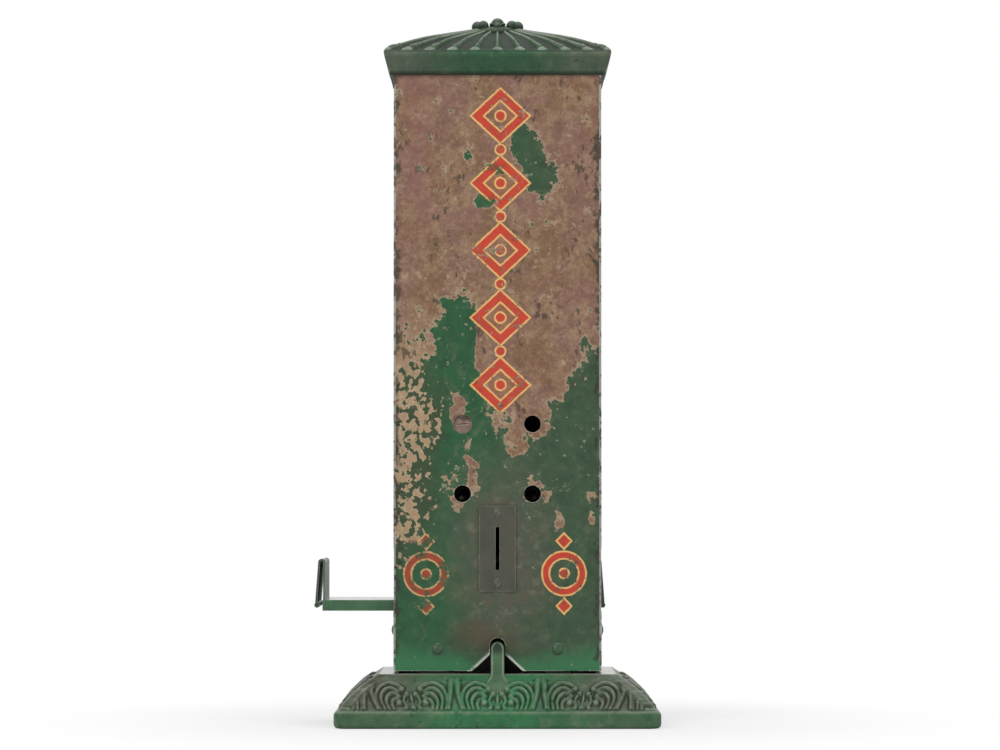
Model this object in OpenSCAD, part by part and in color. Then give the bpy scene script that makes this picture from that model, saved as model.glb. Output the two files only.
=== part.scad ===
// Counter-top match vending machine: cast base and lid, sheet-metal body,
// coin-released shuttle that delivers one match box to the left or the right.
// Millimetres. +Z up, front face towards -Y, origin at the centre of the base's underside.

/* [Base] */
// Width of the base casting
base_w = 155; // [140:1:180]
// Depth of the base casting
base_d = 121; // [112:1:140]
// Height of the upright band round the base
band_h = 8.5; // [6:0.5:12]
// Rounding of the band's edges
band_r = 2.2; // [1:0.1:3]
// Height of the flat top of the base
base_h = 25; // [20:0.5:32]
// Width of the flat top of the base
plateau_w = 114; // [108:1:124]
// Depth of the flat top of the base
plateau_d = 80; // [76:1:90]
// How far the sloped sides bulge out of a straight line
slope_bulge = 1.5; // [0:0.1:3]
// Thickness of the casting
cast_t = 4; // [3:0.25:5]

/* [Leaf relief] */
// Spacing of the upright leaves along the slopes
leaf_bay = 40.8; // [36:0.2:46]
// Height of the leaves above the slopes
leaf_h = 1.5; // [0.8:0.1:2]
// Plain strip between the leaves and the edges of each slope
leaf_margin = 1.6; // [1:0.1:3]

/* [Cutter post] */
// Width of the cutter post
post_w = 6.4; // [5:0.1:8]
// Height of the post above the flat top
post_h = 15.2; // [12:0.2:18]
// How far the post stands in front of the flat top
post_out = 2; // [1:0.25:4]
// Radius of the hollow curve where the post meets the slope
post_fillet = 8; // [5:0.5:10]

/* [Body] */
// Width of the sheet body
body_w = 100; // [96:1:106]
// Depth of the sheet body
body_d = 66; // [64:1:72]
// Height of the sheet body
body_h = 288.8; // [240:0.2:340]
// Sheet thickness
sheet = 1; // [0.8:0.1:1.2]
// Outside radius of the front bends
bend_r = 2; // [1.5:0.1:3]
// Gap between the body and the flat top of the base
foot_gap = 1.2; // [0.5:0.1:2]
// Width of the round-topped slot for the post
post_slot_w = 7.4; // [6.9:0.1:9]
// Gap above the post in its slot
post_slot_room = 1.8; // [1:0.1:3]
// Height of the flared lips beside the post
lip_rise = 10.5; // [7:0.5:12]
// Width of the flared lips beside the post
lip_run = 11.3; // [8:0.1:13]
// Inside radius of the flared lips
lip_r = 1; // [0.5:0.1:1.5]

/* [Front fittings] */
// Diameter of the four guide holes
hole_d = 8.2; // [7:0.1:9]
// Distance of the guide holes from the centre line
hole_x = 16.8; // [16.5:0.1:17.5]
// Height of the lower guide holes above the shuttle bridge
hole_low = 36.8; // [36:0.2:60]
// Distance between the lower and upper guide holes
hole_rise = 33.5; // [20:0.5:50]
// Diameter of the guide bolt's head
bolt_head_d = 9.2; // [9.1:0.1:12]
// Height of the front foot screws above the flat top
foot_screw_h = 11.5; // [10:0.5:13]
// Distance of the front foot screws from the centre line
foot_screw_x = 28.8; // [28.8:0.1:32]
// Height of the side foot screws above the flat top
side_screw_h = 19.7; // [16:0.1:22]

/* [Coin plate] */
// Width of the coin plate
plate_w = 17.3; // [15:0.1:22]
// Height of the coin plate
plate_h = 41; // [38:0.5:50]
// Thickness of the coin plate
plate_t = 1.2; // [0.8:0.1:2]
// Height of the coin slot
coin_slot_h = 20.7; // [20:0.1:22]
// Width of the coin slot
coin_slot_w = 1.9; // [1.6:0.1:2.4]
// Distance from the end of the coin plate to its screws
plate_screw_in = 3.6; // [3:0.1:4.5]

/* [Shuttle] */
// Width of the space for one match box
pocket_w = 36.6; // [36:0.1:38]
// Depth of the shuttle tray
tray_d = 57; // [54:0.5:57.5]
// Height of the tray's side flanges
tray_h = 5.2; // [4.5:0.1:7]
// Space for a match box between tray and bridge top
box_h = 14.2; // [13.5:0.1:16]
// Travel of the shuttle from one end to the other
stroke = 36.3; // [35:0.1:38]
// Length of the raised bridge between the two spaces
bridge_len = 56.7; // [55:0.1:60]
// Width of the pull tab at its foot
tab_w = 5.2; // [4.8:0.1:6.5]
// Width of the pull tab at its top bend
tab_top_w = 3.4; // [3:0.1:4]
// Height of the pull tab above the tray
tab_h = 19.7; // [16:0.1:22]
// Depth of the pull tab
tab_d = 46; // [30:1:52]
// Room above the pull tab in the side window
window_room = 4.8; // [2:0.1:8]

/* [Magazine] */
// Width of the centre channel between the two columns
channel_w = 21; // [20.5:0.1:22]
// Width of the flanges of the column guides
guide_flange = 10; // [9.5:0.1:12]
// Height from the top of the guides to the top of the body
guide_drop = 25; // [24:1:40]

/* [Lid] */
// Width of the lid at its widest
lid_w = 109.5; // [108:0.5:116]
// Depth of the lid at its widest
lid_d = 75.5; // [74:0.5:82]
// Height from the lid's lower edge to its widest line
lid_skirt_h = 9.5; // [8:0.25:12]
// Height of the rolled eave above the widest line
eave_h = 4; // [3:0.25:5]
// Rise of the fluted slope to the top
lid_rise = 15; // [12:0.5:20]
// How far the fluted slope bulges out of a straight line
roof_bulge = 1.4; // [0:0.1:2]
// Overlap of the lid's lower edge over the body
lid_lap = 2.5; // [2:0.25:4]
// Width of the lid's lower edge outside the body
lid_rim = 2; // [1.2:0.1:3]
// Depth of the flutes
flute_depth = 1.6; // [0.8:0.1:2]
// Flutes across the front
flutes_front = 10; // [6:1:12]
// Flutes along each side
flutes_side = 7; // [4:1:9]
// Radius of the finial's centre boss
boss_r = 3.4; // [3:0.1:4]
// Radius of the ring of lobes round the boss
lobe_ring_r = 9.8; // [9:0.1:12]
// Radius of each lobe
lobe_r = 2.7; // [2.2:0.1:3]

/* [Cash drawer] */
// Gap between the drawer and the lugs beside it
drawer_room = 2; // [1:0.1:3]
// Depth of the drawer behind its face
drawer_d = 53; // [48:0.5:54]
// Height of the drawer
drawer_h = 24.2; // [22:0.1:25]
// Height of the bay between base and deck
bay_h = 28.5; // [28:0.1:32]

/* [Locks] */
// Outside radius of the lock barrels
barrel_r = 7; // [6.5:0.1:7.2]
// Radius of the lock plugs
plug_r = 5.4; // [5:0.1:5.6]
// Reach of the lid lock's cam from its axis
lid_cam_reach = 14; // [13:0.1:14.5]
// Reach of the drawer lock's cam from its axis
drawer_cam_reach = 14.8; // [14.5:0.1:15]
// Height of the drawer lock above the flat top
drawer_lock_h = 13; // [12.8:0.1:13.2]

/* [Fits] */
// Running gap between sliding pieces
slide_gap = 0.3; // [0.25:0.05:0.5]
// Radial gap between a pin and its bore
pin_gap = 0.05; // [0.02:0.01:0.1]

/* [Hidden] */
$fn = 48;
// Overshoot of a cutting shape past the face that it cuts
cut = 1;

// Outer and inner faces of the body
half_w = body_w / 2;
half_d = body_d / 2;
front_in = -half_d + sheet;
rear_in = half_d - sheet;
side_in = half_w - sheet;
body_z0 = base_h + foot_gap;
body_top = body_z0 + body_h;

// Heights of the deck, the shuttle and its bridge
deck_top = base_h + bay_h + sheet;
tray_z0 = deck_top + slide_gap;
tray_top = tray_z0 + tray_h;
bridge_top = tray_top + box_h;
window_top = tray_top + tab_h + window_room;

// Shuttle at rest, pushed to the left end of its travel
shuttle_x = -stroke / 2;
shuttle_len = bridge_len + 2 * pocket_w + 2 * tab_w;
bridge_d = tray_d - 3;
// Coin slots in the bridge
bridge_slot_w = 2.6;
bridge_slot_l = coin_slot_h - 0.1;
coin_y = -8;

// Base lugs that take the foot screws
lug_t = 5;
lug_w = 12;
lug_over = 5;
side_lug_x = side_in - sheet;
screw_r = 1.5;
// Heads of the foot screws and the coin plate's screws
foot_head_r = 3;
foot_head_h = 1.5;
side_head_r = 3.5;
side_head_h = 1.7;
plate_head_r = 2.65;
plate_head_h = 1.4;
upright = 88;

// Knife behind the front panel
blade_w = 7;
knife_tab_w = 24;
knife_t = sheet;
blade_gap = 2.5;
knife_y = -tray_d / 2 - knife_t;
knife_screw_x = 8.5;
knife_screw_z = tray_z0 + tray_h / 2;
knife_flare = 4;

// Coin plate and the chute behind it
plate_z0 = bridge_top + 0.2 - (plate_h - coin_slot_h) / 2;
coin_slot_z0 = plate_z0 + (plate_h - coin_slot_h) / 2;
plate_screw_z = [plate_z0 + plate_screw_in, plate_z0 + plate_h - plate_screw_in];
chute_gap = 3;
chute_t = 0.8;
chute_back = 6;
chute_clear = 1;

// Pawl that drops into the bridge: its nose, the arm behind it and the back of its head
pawl_nose_l = 15;
pawl_nose_y = coin_y - 0.5;
pawl_arm_h = 3.5;
pawl_head_h = 9.5;
pawl_head_y = coin_y - 2;
pawl_chin = 2;
pawl_chin_h = 5.5;
pawl_root_h = 8;
pawl_t = 2;
pawl_y = 22;
pawl_z = bridge_top + 9.8;
pawl_hub_r = 5;
pawl_hub_l = 9;
pawl_pin_r = 2;

// Column guides
guide_x = channel_w / 2;
guide_z0 = bridge_top + 1;
guide_top = body_top - guide_drop;
hole_z = [bridge_top + hole_low, bridge_top + hole_low + hole_rise];
rivet_r = 1.6;
guide_rivet_z = [guide_z0 + 35, (guide_z0 + guide_top) / 2, guide_top - 15];
bolt_nut_t = 2;

// Locks
bezel_t = 1.5;
nut_t = 1.8;
cam_t = 1.6;
cam_half_w = 4;
stub_r = 3;
lid_lock_z = body_top - 12;
lid_cam_y = rear_in - 10;
drawer_z0 = base_h + slide_gap;
drawer_face_t = 1.2;
drawer_face_lap = 3;
drawer_side_gap = 0.8;
drawer_w = 2 * (side_lug_x - lug_t - drawer_room);
drawer_lock_z = base_h + drawer_lock_h;
drawer_cam_y = rear_in - 3;

// Lid
lid_z0 = body_top - lid_lap;
lid_wide_z = lid_z0 + lid_skirt_h;
eave_z = lid_wide_z + eave_h;
lid_apex_z = eave_z + lid_rise;
lid_gap = 0.3;
lid_corner_r = 4;
lid_ledge = 4;
catch_x = lid_cam_reach + 2;
catch_t = 2;
catch_foot = 8;
catch_depth = 3;
catch_pad = 8;

// Plan outlines

module rounded_rect(w, d, r) {
    square([w - 2 * r, d], center = true);
    square([w, d - 2 * r], center = true);
    for (sx = [-1, 1], sy = [-1, 1])
        translate([sx * (w / 2 - r), sy * (d / 2 - r)]) circle(r);
}

// Copies on both sides of the centre line
module both_sides() {
    children();
    mirror([1, 0, 0]) children();
}

// Cylinder that starts at y and runs towards +Y
module rod_y(x, y, z, r, len) {
    translate([x, y, z]) rotate([-90, 0, 0]) cylinder(r = r, h = len);
}

// Pair of coin slots, a given distance apart, through the sheet whose top face is given
module coin_slots(spacing, w, room, top) {
    y0 = coin_y - bridge_slot_l / 2 - room;
    for (s = [-1, 1]) translate([s * spacing / 2 - w / 2, y0, top - sheet - cut])
        cube([w, bridge_slot_l + 2 * room, sheet + 2 * cut]);
}

// Screw holes through the front wall and the side walls, from the given face inwards
module front_screw_hole(x, y, z, t) {
    rod_y(x, y - cut, z, screw_r + pin_gap, t + 2 * cut);
}

module side_screw_hole(x, t) {
    translate([x - cut, 0, base_h + side_screw_h])
        rotate([0, 90, 0]) cylinder(r = screw_r + pin_gap, h = t + 2 * cut);
}

// Low dome, flat side at z = 0, of the given base radius and height
module dome(r, h) {
    ball_r = (r * r + h * h) / (2 * h);
    intersection() {
        translate([0, 0, h - ball_r]) sphere(ball_r);
        cylinder(r = r, h = h + cut);
    }
}

// Dome-headed screw whose head seats at y and whose shank runs towards +Y, plain unless its slot has a turn
module dome_screw_y(x, y, z, head_r, head_h, shank_r, len, slot_turn = undef) {
    translate([x, y, z]) rotate([90, 0, 0]) {
        difference() {
            dome(head_r, head_h);
            if (!is_undef(slot_turn)) rotate([0, 0, slot_turn])
                translate([-head_r, -0.4, head_h * 0.55]) cube([2 * head_r, 0.8, head_h]);
        }
        translate([0, 0, -len]) cylinder(r = shank_r, h = len);
    }
}

// Dome rivet through thickness t with a head at both ends
module rivet(r, t) {
    translate([0, 0, t]) dome(r * 1.9, r * 0.8);
    cylinder(r = r, h = t);
    mirror([0, 0, 1]) dome(r * 1.5, r * 0.5);
}

// Base casting

slope_steps = 5;
corner_steps = 5;
corner_r = 2 * band_r;

// Rounded rectangle of the given half sizes at height z, from the left front corner round to the left
function corner_ring(hx, hy, z) =
    [for (k = [0 : 3], j = [0 : corner_steps])
        let (a = 180 + 90 * k + 90 * j / corner_steps,
             sx = k == 0 || k == 3 ? -1 : 1,
             sy = k < 2 ? -1 : 1)
        [sx * (hx - corner_r) + corner_r * cos(a), sy * (hy - corner_r) + corner_r * sin(a), z]];

// Level of the sloped sides, u from 0 at the band to 1 at the flat top, drawn in for the hollow
function slope_ring(u, inset) =
    let (out = slope_bulge * sin(180 * u) - band_r * (1 - u) - inset)
    corner_ring((base_w + (plateau_w - base_w) * u) / 2 + out,
                (base_d + (plateau_d - base_d) * u) / 2 + out,
                band_h + (base_h - band_h) * u - inset);

// Level of the rounded edges of the band
function band_ring(inset, z) = corner_ring(base_w / 2 - inset, base_d / 2 - inset, z);

// Leaf relief on the slopes

leaf_rows = 10;
leaf_step = 1.75;
slope_run = (base_w - plateau_w) / 2 - band_r;
slope_rise = base_h - band_h;
slope_len = norm([slope_run, slope_rise]);
// Ground between the leaves, and the centre, radii and half width of the fanned ribs of half a bay
leaf_ground = 0.3;
fan_x = 0.79;
fan_r = [0.28, 0.60];
fan_stretch = 1.4;
fan_top = 0.85;
rib_w = 2.3;
// Spread of the pair of upright leaves at their feet, their height up the slope and half width
upright_spread = 0.15;
upright_top = 0.9;
upright_w = 1.7;

// Rounded height from 0 to 1 at a distance from the middle of a rib of half width w
function rib(d, w) = sqrt(max(0, 1 - d * d / (w * w)));

// Height of the relief at a distance along a slope from its middle, and u up it from 0 to 1
function leaf_height(along, u) =
    let (half = leaf_bay / 2,
         m = (along + half + 8 * leaf_bay) % leaf_bay,
         a = min(m, leaf_bay - m),
         lean = half * upright_spread * pow(1 - u, 2),
         pair = u < upright_top ? rib(a - lean, upright_w) : 0,
         rho = norm([a - fan_x * half, slope_len * u / fan_stretch]),
         fan = u < fan_top ? max([for (r = fan_r) rib(rho - r * half, rib_w)]) : 0)
    leaf_h * max(leaf_ground, pair, fan);

// Columns of the relief along each of the four sides
leaf_cols = [for (k = [0 : 3]) round((k % 2 == 0 ? base_w : base_d) / leaf_step)];
corner_n = corner_steps + 1;

// Places of the relief's rows up the slope
leaf_u = [for (j = [0 : leaf_rows])
    (leaf_margin + (slope_len - 2 * leaf_margin) * j / leaf_rows) / slope_len];

// Level of the slope with its leaves; the rows at the edges of the relief are plain
function leaf_ring(j) =
    let (u = leaf_u[j],
         plain = j == 0 || j == leaf_rows,
         ring = slope_ring(u, 0))
    [for (k = [0 : 3])
        let (p = ring[k * corner_n + corner_steps],
             q = ring[(k + 1) % 4 * corner_n],
             out = [cos(90 * k - 90), sin(90 * k - 90), 0] * slope_rise / slope_len
                   + [0, 0, slope_run / slope_len])
        each concat(
            [for (i = [0 : corner_steps]) ring[k * corner_n + i]],
            [for (i = [1 : leaf_cols[k] - 1])
                let (t = i / leaf_cols[k])
                p + (q - p) * t + (plain ? 0 : leaf_height(norm(q - p) * (t - 0.5), u)) * out])];

// First point of each side's corner in a level with leaves
leaf_first = [0, for (k = 0, s = corner_n + leaf_cols[0] - 1; k < 4;
    k = k + 1, s = s + (k < 4 ? corner_n + leaf_cols[k] - 1 : 0)) s];

// Closed casting, from the ceiling of its hollow, round the lower rim, up the slopes to the flat top
module base_form() {
    edge_steps = 3;
    edge = [for (i = [0 : edge_steps]) 90 * i / edge_steps];
    plain = concat(
        [for (i = [0 : slope_steps]) slope_ring(1 - i / slope_steps, cast_t)],
        [band_ring(band_r + cast_t, 0)],
        [for (a = edge) band_ring(band_r * (1 - sin(a)), band_r * (1 - cos(a)))],
        [for (a = edge) band_ring(band_r * (1 - cos(a)), band_h - band_r + band_r * sin(a))]);
    n = 4 * corner_n;
    leaf_n = leaf_first[4];
    low = (len(plain) - 1) * n;
    leaf0 = low + n;
    leaf1 = leaf0 + leaf_rows * leaf_n;
    top = leaf1 + leaf_n;
    // Corner point i of side k, and the points along the side behind it, in a level that starts at b
    function at(b, k, i) = b + k * corner_n + i;
    function at_leaf(b, k, i) = b + (leaf_first[k] + i) % leaf_n;
    faces = concat(
        [[for (i = [0 : n - 1]) i]],
        [for (k = [0 : len(plain) - 2], i = [0 : n - 1])
            [k * n + i, (k + 1) * n + i, (k + 1) * n + (i + 1) % n, k * n + (i + 1) % n]],
        [for (k = [0 : 3], i = [0 : corner_steps - 1])
            [at(low, k, i), at_leaf(leaf0, k, i), at_leaf(leaf0, k, i + 1), at(low, k, i + 1)]],
        [for (k = [0 : 3]) concat(
            [at(low, k, corner_steps)],
            [for (i = [0 : leaf_cols[k]]) at_leaf(leaf0, k, corner_steps + i)],
            [at(low, (k + 1) % 4, 0)])],
        [for (j = [0 : leaf_rows - 1], i = [0 : leaf_n - 1])
            let (b = leaf0 + j * leaf_n) [b + i, b + leaf_n + i, b + leaf_n + (i + 1) % leaf_n]],
        [for (j = [0 : leaf_rows - 1], i = [0 : leaf_n - 1])
            let (b = leaf0 + j * leaf_n) [b + i, b + leaf_n + (i + 1) % leaf_n, b + (i + 1) % leaf_n]],
        [for (k = [0 : 3], i = [0 : corner_steps - 1])
            [at_leaf(leaf1, k, i), at(top, k, i), at(top, k, i + 1), at_leaf(leaf1, k, i + 1)]],
        [for (k = [0 : 3]) concat(
            [at(top, k, corner_steps), at(top, (k + 1) % 4, 0)],
            [for (i = [0 : leaf_cols[k]]) at_leaf(leaf1, k, corner_steps + leaf_cols[k] - i)])],
        [[for (i = [0 : n - 1]) top + n - 1 - i]]);
    polyhedron(concat([for (ring = plain) each ring], [for (j = [0 : leaf_rows]) each leaf_ring(j)],
                      slope_ring(1, 0)), faces);
}

// Side profile of the post: upright, with a hollow curve into the slope
module post_profile() {
    front = plateau_d / 2 + post_out;
    back = half_d - sheet - 0.8;
    foot = base_h - cast_t;
    polygon(concat(
        [[-back, foot], [-back, base_h + post_h], [-front, base_h + post_h]],
        [for (a = [0 : 10 : 60]) [-front - post_fillet * (1 - cos(a)), base_h + 2 - post_fillet * sin(a)]],
        [[-front, foot - post_fillet * 0.6]]));
}

module post_solid() {
    top = base_h + post_h;
    intersection() {
        rotate([90, 0, 90]) linear_extrude(post_w, center = true) post_profile();
        rotate([90, 0, 0]) linear_extrude(base_d) {
            translate([0, top - post_w / 2]) circle(post_w / 2);
            translate([-post_w / 2, 0]) square([post_w, top - post_w / 2]);
        }
    }
}

// Rib across the hollow from front to back, flush with the rim that the base stands on
module base_rib() {
    len = base_d - 2 * band_r - cast_t;
    translate([-cast_t / 2, -len / 2, 0]) cube([cast_t, len, band_h]);
    translate([-cast_t / 2, -plateau_d / 2, 0]) cube([cast_t, plateau_d, base_h - cast_t / 2]);
}

module base_lugs() {
    lug_h = foot_screw_h + lug_over;
    side_h = side_screw_h + lug_over;
    both_sides() {
        translate([foot_screw_x - lug_w / 2, front_in, base_h - 1]) cube([lug_w, lug_t, lug_h + 1]);
        translate([side_lug_x - lug_t, -lug_w / 2, base_h - 1]) cube([lug_t, lug_w, side_h + 1]);
    }
}

module base_casting() {
    color("darkgreen") difference() {
        union() {
            base_form();
            base_rib();
            post_solid();
            base_lugs();
        }
        both_sides() {
            front_screw_hole(foot_screw_x, front_in, base_h + foot_screw_h, lug_t);
            side_screw_hole(side_lug_x - lug_t, lug_t);
        }
    }
}

// Sheet body

// Quarter bend and short leg of a flared lip, across the edge that it runs along
module lip_profile() {
    translate([0, -half_d - lip_r]) intersection() {
        difference() {
            circle(lip_r + sheet);
            circle(lip_r);
        }
        square(2 * (lip_r + sheet));
    }
    translate([lip_r, -half_d - lip_r - sheet]) square([sheet, sheet]);
}

module lip() {
    len = norm([lip_run, lip_rise]);
    difference() {
        translate([post_slot_w / 2, 0, body_z0 + lip_rise])
            rotate([0, 90 + atan2(lip_rise, lip_run), 0]) linear_extrude(len) lip_profile();
        translate([post_slot_w / 2 - 20, -half_d - 10, body_z0 - 20]) cube([20, 20, 60]);
        translate([0, -half_d - 10, body_z0 - 20]) cube([60, 20, 20]);
    }
}

module post_slot() {
    top = base_h + post_h + post_slot_room - post_slot_w / 2;
    lip_end = post_slot_w / 2 + lip_run;
    rotate([90, 0, 0]) linear_extrude(half_d + cut) {
        translate([0, top]) circle(post_slot_w / 2);
        translate([-post_slot_w / 2, body_z0 - cut]) square([post_slot_w, top - body_z0 + cut]);
        for (s = [-1, 1])
            polygon([[0, body_z0 + lip_rise], [s * post_slot_w / 2, body_z0 + lip_rise],
                     [s * lip_end, body_z0], [s * lip_end, body_z0 - cut], [0, body_z0 - cut]]);
    }
}

module side_windows() {
    d0 = front_in;
    d1 = tray_d / 2 + 0.5;
    translate([-half_w - cut, d0, deck_top]) cube([body_w + 2 * cut, d1 - d0, window_top - deck_top]);
}

module guide_holes(y, len) {
    for (sx = [-1, 1], z = hole_z) rod_y(sx * hole_x, y, z, hole_d / 2, len);
}

// Wall of the body in plan, bent at the two front corners and running back to the rear panel
module wall_plan() {
    past = 2 * bend_r;
    difference() {
        rounded_rect(body_w, body_d, bend_r);
        translate([0, past / 2])
            rounded_rect(body_w - 2 * sheet, body_d + past - 2 * sheet, bend_r - sheet);
        translate([-half_w - cut, rear_in]) square([body_w + 2 * cut, half_d]);
    }
}

module body_shell() {
    color("olivedrab") {
        difference() {
            translate([0, 0, body_z0]) linear_extrude(body_h) wall_plan();
            side_windows();
            post_slot();
            guide_holes(-half_d - cut, sheet + 2 * cut);
            translate([-coin_slot_w / 2 - 0.5, -half_d - cut, coin_slot_z0 - 0.5])
                cube([coin_slot_w + 1, sheet + 2 * cut, coin_slot_h + 1]);
            for (z = plate_screw_z) front_screw_hole(0, -half_d, z, sheet);
            both_sides() {
                front_screw_hole(foot_screw_x, -half_d, base_h + foot_screw_h, sheet);
                side_screw_hole(side_in, sheet);
            }
        }
        both_sides() lip();
    }
}

module rear_panel() {
    flange = 10;
    notch_w = drawer_w + 2 * drawer_side_gap;
    notch_top = drawer_z0 + drawer_h + 0.5;
    color("darkolivegreen") difference() {
        union() {
            translate([0, 0, body_z0]) linear_extrude(body_h) difference() {
                rounded_rect(body_w, body_d, bend_r);
                translate([-half_w - cut, -half_d - cut]) square([body_w + 2 * cut, body_d + cut - sheet]);
            }
            both_sides() translate([side_in - sheet, rear_in - flange, body_z0])
                cube([sheet, flange, body_h]);
        }
        translate([-half_w, rear_in - flange - cut, deck_top - 3])
            cube([body_w, flange + cut, window_top - deck_top + 6]);
        translate([-notch_w / 2, rear_in - flange, body_z0 - cut])
            cube([notch_w, flange + sheet + cut, notch_top - body_z0 + cut]);
        rod_y(0, rear_in - cut, lid_lock_z, barrel_r + pin_gap, sheet + 2 * cut);
        for (sx = [-1, 1], z = guide_rivet_z)
            rod_y(sx * hole_x, rear_in - cut, z, rivet_r + pin_gap, sheet + 2 * cut);
    }
}

module guide_rivets() {
    color("dimgray") for (sx = [-1, 1], z = guide_rivet_z)
        translate([sx * hole_x, rear_in - sheet, z]) rotate([-90, 0, 0]) rivet(rivet_r, 2 * sheet);
}

// Deck under the shuttle

module deck_plate() {
    tab = lug_w;
    drop = deck_top - base_h - side_screw_h + lug_over;
    plate_half = side_in - sheet - slide_gap;
    notch_half = (stroke + blade_w) / 2 + knife_flare + 1;
    notch_y = -tray_d / 2 + slide_gap;
    color("gray") difference() {
        union() {
            translate([-plate_half, front_in + slide_gap, deck_top - sheet])
                cube([2 * plate_half, rear_in - front_in - 2 * slide_gap, sheet]);
            translate([-side_in, -tab / 2, deck_top - sheet]) cube([2 * side_in, tab, sheet]);
            both_sides() translate([side_lug_x, -tab / 2, deck_top - drop]) cube([sheet, tab, drop]);
        }
        translate([-notch_half, front_in - cut, deck_top - sheet - cut])
            cube([2 * notch_half, notch_y - front_in + cut, sheet + 2 * cut]);
        coin_slots(2 * stroke, 2 * bridge_slot_w, 2, deck_top);
        both_sides() side_screw_hole(side_lug_x, sheet);
    }
}

// Column guides: channels with outward flanges against the front and rear walls

module column_guide() {
    len = guide_top - guide_z0;
    difference() {
        translate([0, 0, guide_z0]) linear_extrude(len) {
            translate([guide_x - sheet, front_in]) square([sheet, rear_in - front_in]);
            for (y = [front_in, rear_in - sheet]) translate([guide_x - sheet, y])
                square([guide_flange, sheet]);
        }
        for (z = hole_z) rod_y(hole_x, front_in - cut, z, hole_d / 2, sheet + 2 * cut);
        for (z = guide_rivet_z)
            rod_y(hole_x, rear_in - sheet - cut, z, rivet_r + pin_gap, sheet + 2 * cut);
        translate([guide_x - sheet - cut, pawl_y, pawl_z])
            rotate([0, 90, 0]) cylinder(r = pawl_pin_r + pin_gap, h = sheet + 2 * cut);
    }
}

module column_guide_left() {
    color("slategray") mirror([1, 0, 0]) column_guide();
}

module column_guide_right() {
    color("slategray") column_guide();
}

module guide_bolt() {
    head_h = 2.6;
    len = 2 * sheet + bolt_nut_t + 0.5;
    color("silver")
        dome_screw_y(-hole_x, -half_d, hole_z[1], bolt_head_d / 2, head_h, hole_d / 2 - pin_gap, len, 4);
}

module guide_nut() {
    color("silver") difference() {
        translate([-hole_x, front_in + sheet, hole_z[1]]) rotate([-90, 30, 0])
            cylinder(r = hole_d / 2 + 2.6, h = bolt_nut_t, $fn = 6);
        rod_y(-hole_x, front_in - cut, hole_z[1], hole_d / 2, bolt_nut_t + sheet + 2 * cut);
    }
}

// Coin entry

module coin_plate() {
    color("darkseagreen") difference() {
        translate([0, -half_d, plate_z0 + plate_h / 2]) rotate([90, 0, 0])
            linear_extrude(plate_t) rounded_rect(plate_w, plate_h, 1.2);
        translate([-coin_slot_w / 2, -half_d - plate_t - cut, coin_slot_z0])
            cube([coin_slot_w, plate_t + 2 * cut, coin_slot_h]);
        for (z = plate_screw_z) front_screw_hole(0, -half_d - plate_t, z, plate_t);
    }
}

module coin_plate_screws() {
    color("gray") for (z = plate_screw_z)
        dome_screw_y(0, -half_d - plate_t, z, plate_head_r, plate_head_h, screw_r,
                     plate_t + 2 * sheet + 1, upright);
}

module coin_chute() {
    cheek_z0 = bridge_top + chute_clear;
    cheek_top = coin_slot_z0 + coin_slot_h + 2;
    cheek_d = chute_back - front_in;
    strip_d = 10;
    color("lightgray") difference() {
        union() {
            translate([-plate_w / 2, front_in, plate_z0]) cube([plate_w, sheet, plate_h]);
            both_sides() translate([chute_gap / 2, front_in, cheek_z0])
                cube([chute_t, cheek_d, cheek_top - cheek_z0]);
            translate([-chute_gap / 2 - chute_t, front_in, cheek_top - chute_t])
                cube([chute_gap + 2 * chute_t, strip_d, chute_t]);
        }
        translate([-chute_gap / 2, front_in - cut, coin_slot_z0 - 0.5])
            cube([chute_gap, sheet + 2 * cut, coin_slot_h + 1]);
        for (z = plate_screw_z) front_screw_hole(0, front_in, z, sheet);
    }
}

module pawl_pin() {
    color("silver") translate([-guide_x, pawl_y, pawl_z])
        rotate([0, 90, 0]) cylinder(r = pawl_pin_r, h = channel_w);
}

// Flat pawl in the plane of the coin: a hub, an arm and a nose that fits the bridge slots
module lock_pawl() {
    nose_z = bridge_top + slide_gap;
    nose_back = pawl_nose_y + pawl_nose_l / 2;
    nose_front = pawl_nose_y - pawl_nose_l / 2;
    color("goldenrod") difference() {
        union() {
            rotate([90, 0, 90]) linear_extrude(pawl_t, center = true) {
                polygon([[pawl_y, pawl_z + pawl_root_h / 2], [pawl_y, pawl_z - pawl_root_h / 2],
                         [nose_back, nose_z + pawl_arm_h], [nose_back, nose_z], [nose_front, nose_z],
                         [nose_front - pawl_chin, nose_z + pawl_chin_h],
                         [pawl_head_y, nose_z + pawl_head_h]]);
            }
            translate([-pawl_hub_l / 2, pawl_y, pawl_z])
                rotate([0, 90, 0]) cylinder(r = pawl_hub_r, h = pawl_hub_l);
        }
        translate([-guide_x, pawl_y, pawl_z])
            rotate([0, 90, 0]) cylinder(r = pawl_pin_r + pin_gap, h = channel_w);
    }
}

// Foot screws

module front_foot_screws() {
    color("seagreen") both_sides()
        dome_screw_y(foot_screw_x, -half_d, base_h + foot_screw_h, foot_head_r, foot_head_h, screw_r,
                     sheet + lug_t);
}

module side_foot_screws() {
    len = 2 * sheet + lug_t;
    color("seagreen") both_sides()
        rotate([0, 0, 90])
            dome_screw_y(0, -half_w, base_h + side_screw_h, side_head_r, side_head_h, screw_r, len);
}

// Shuttle

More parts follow.
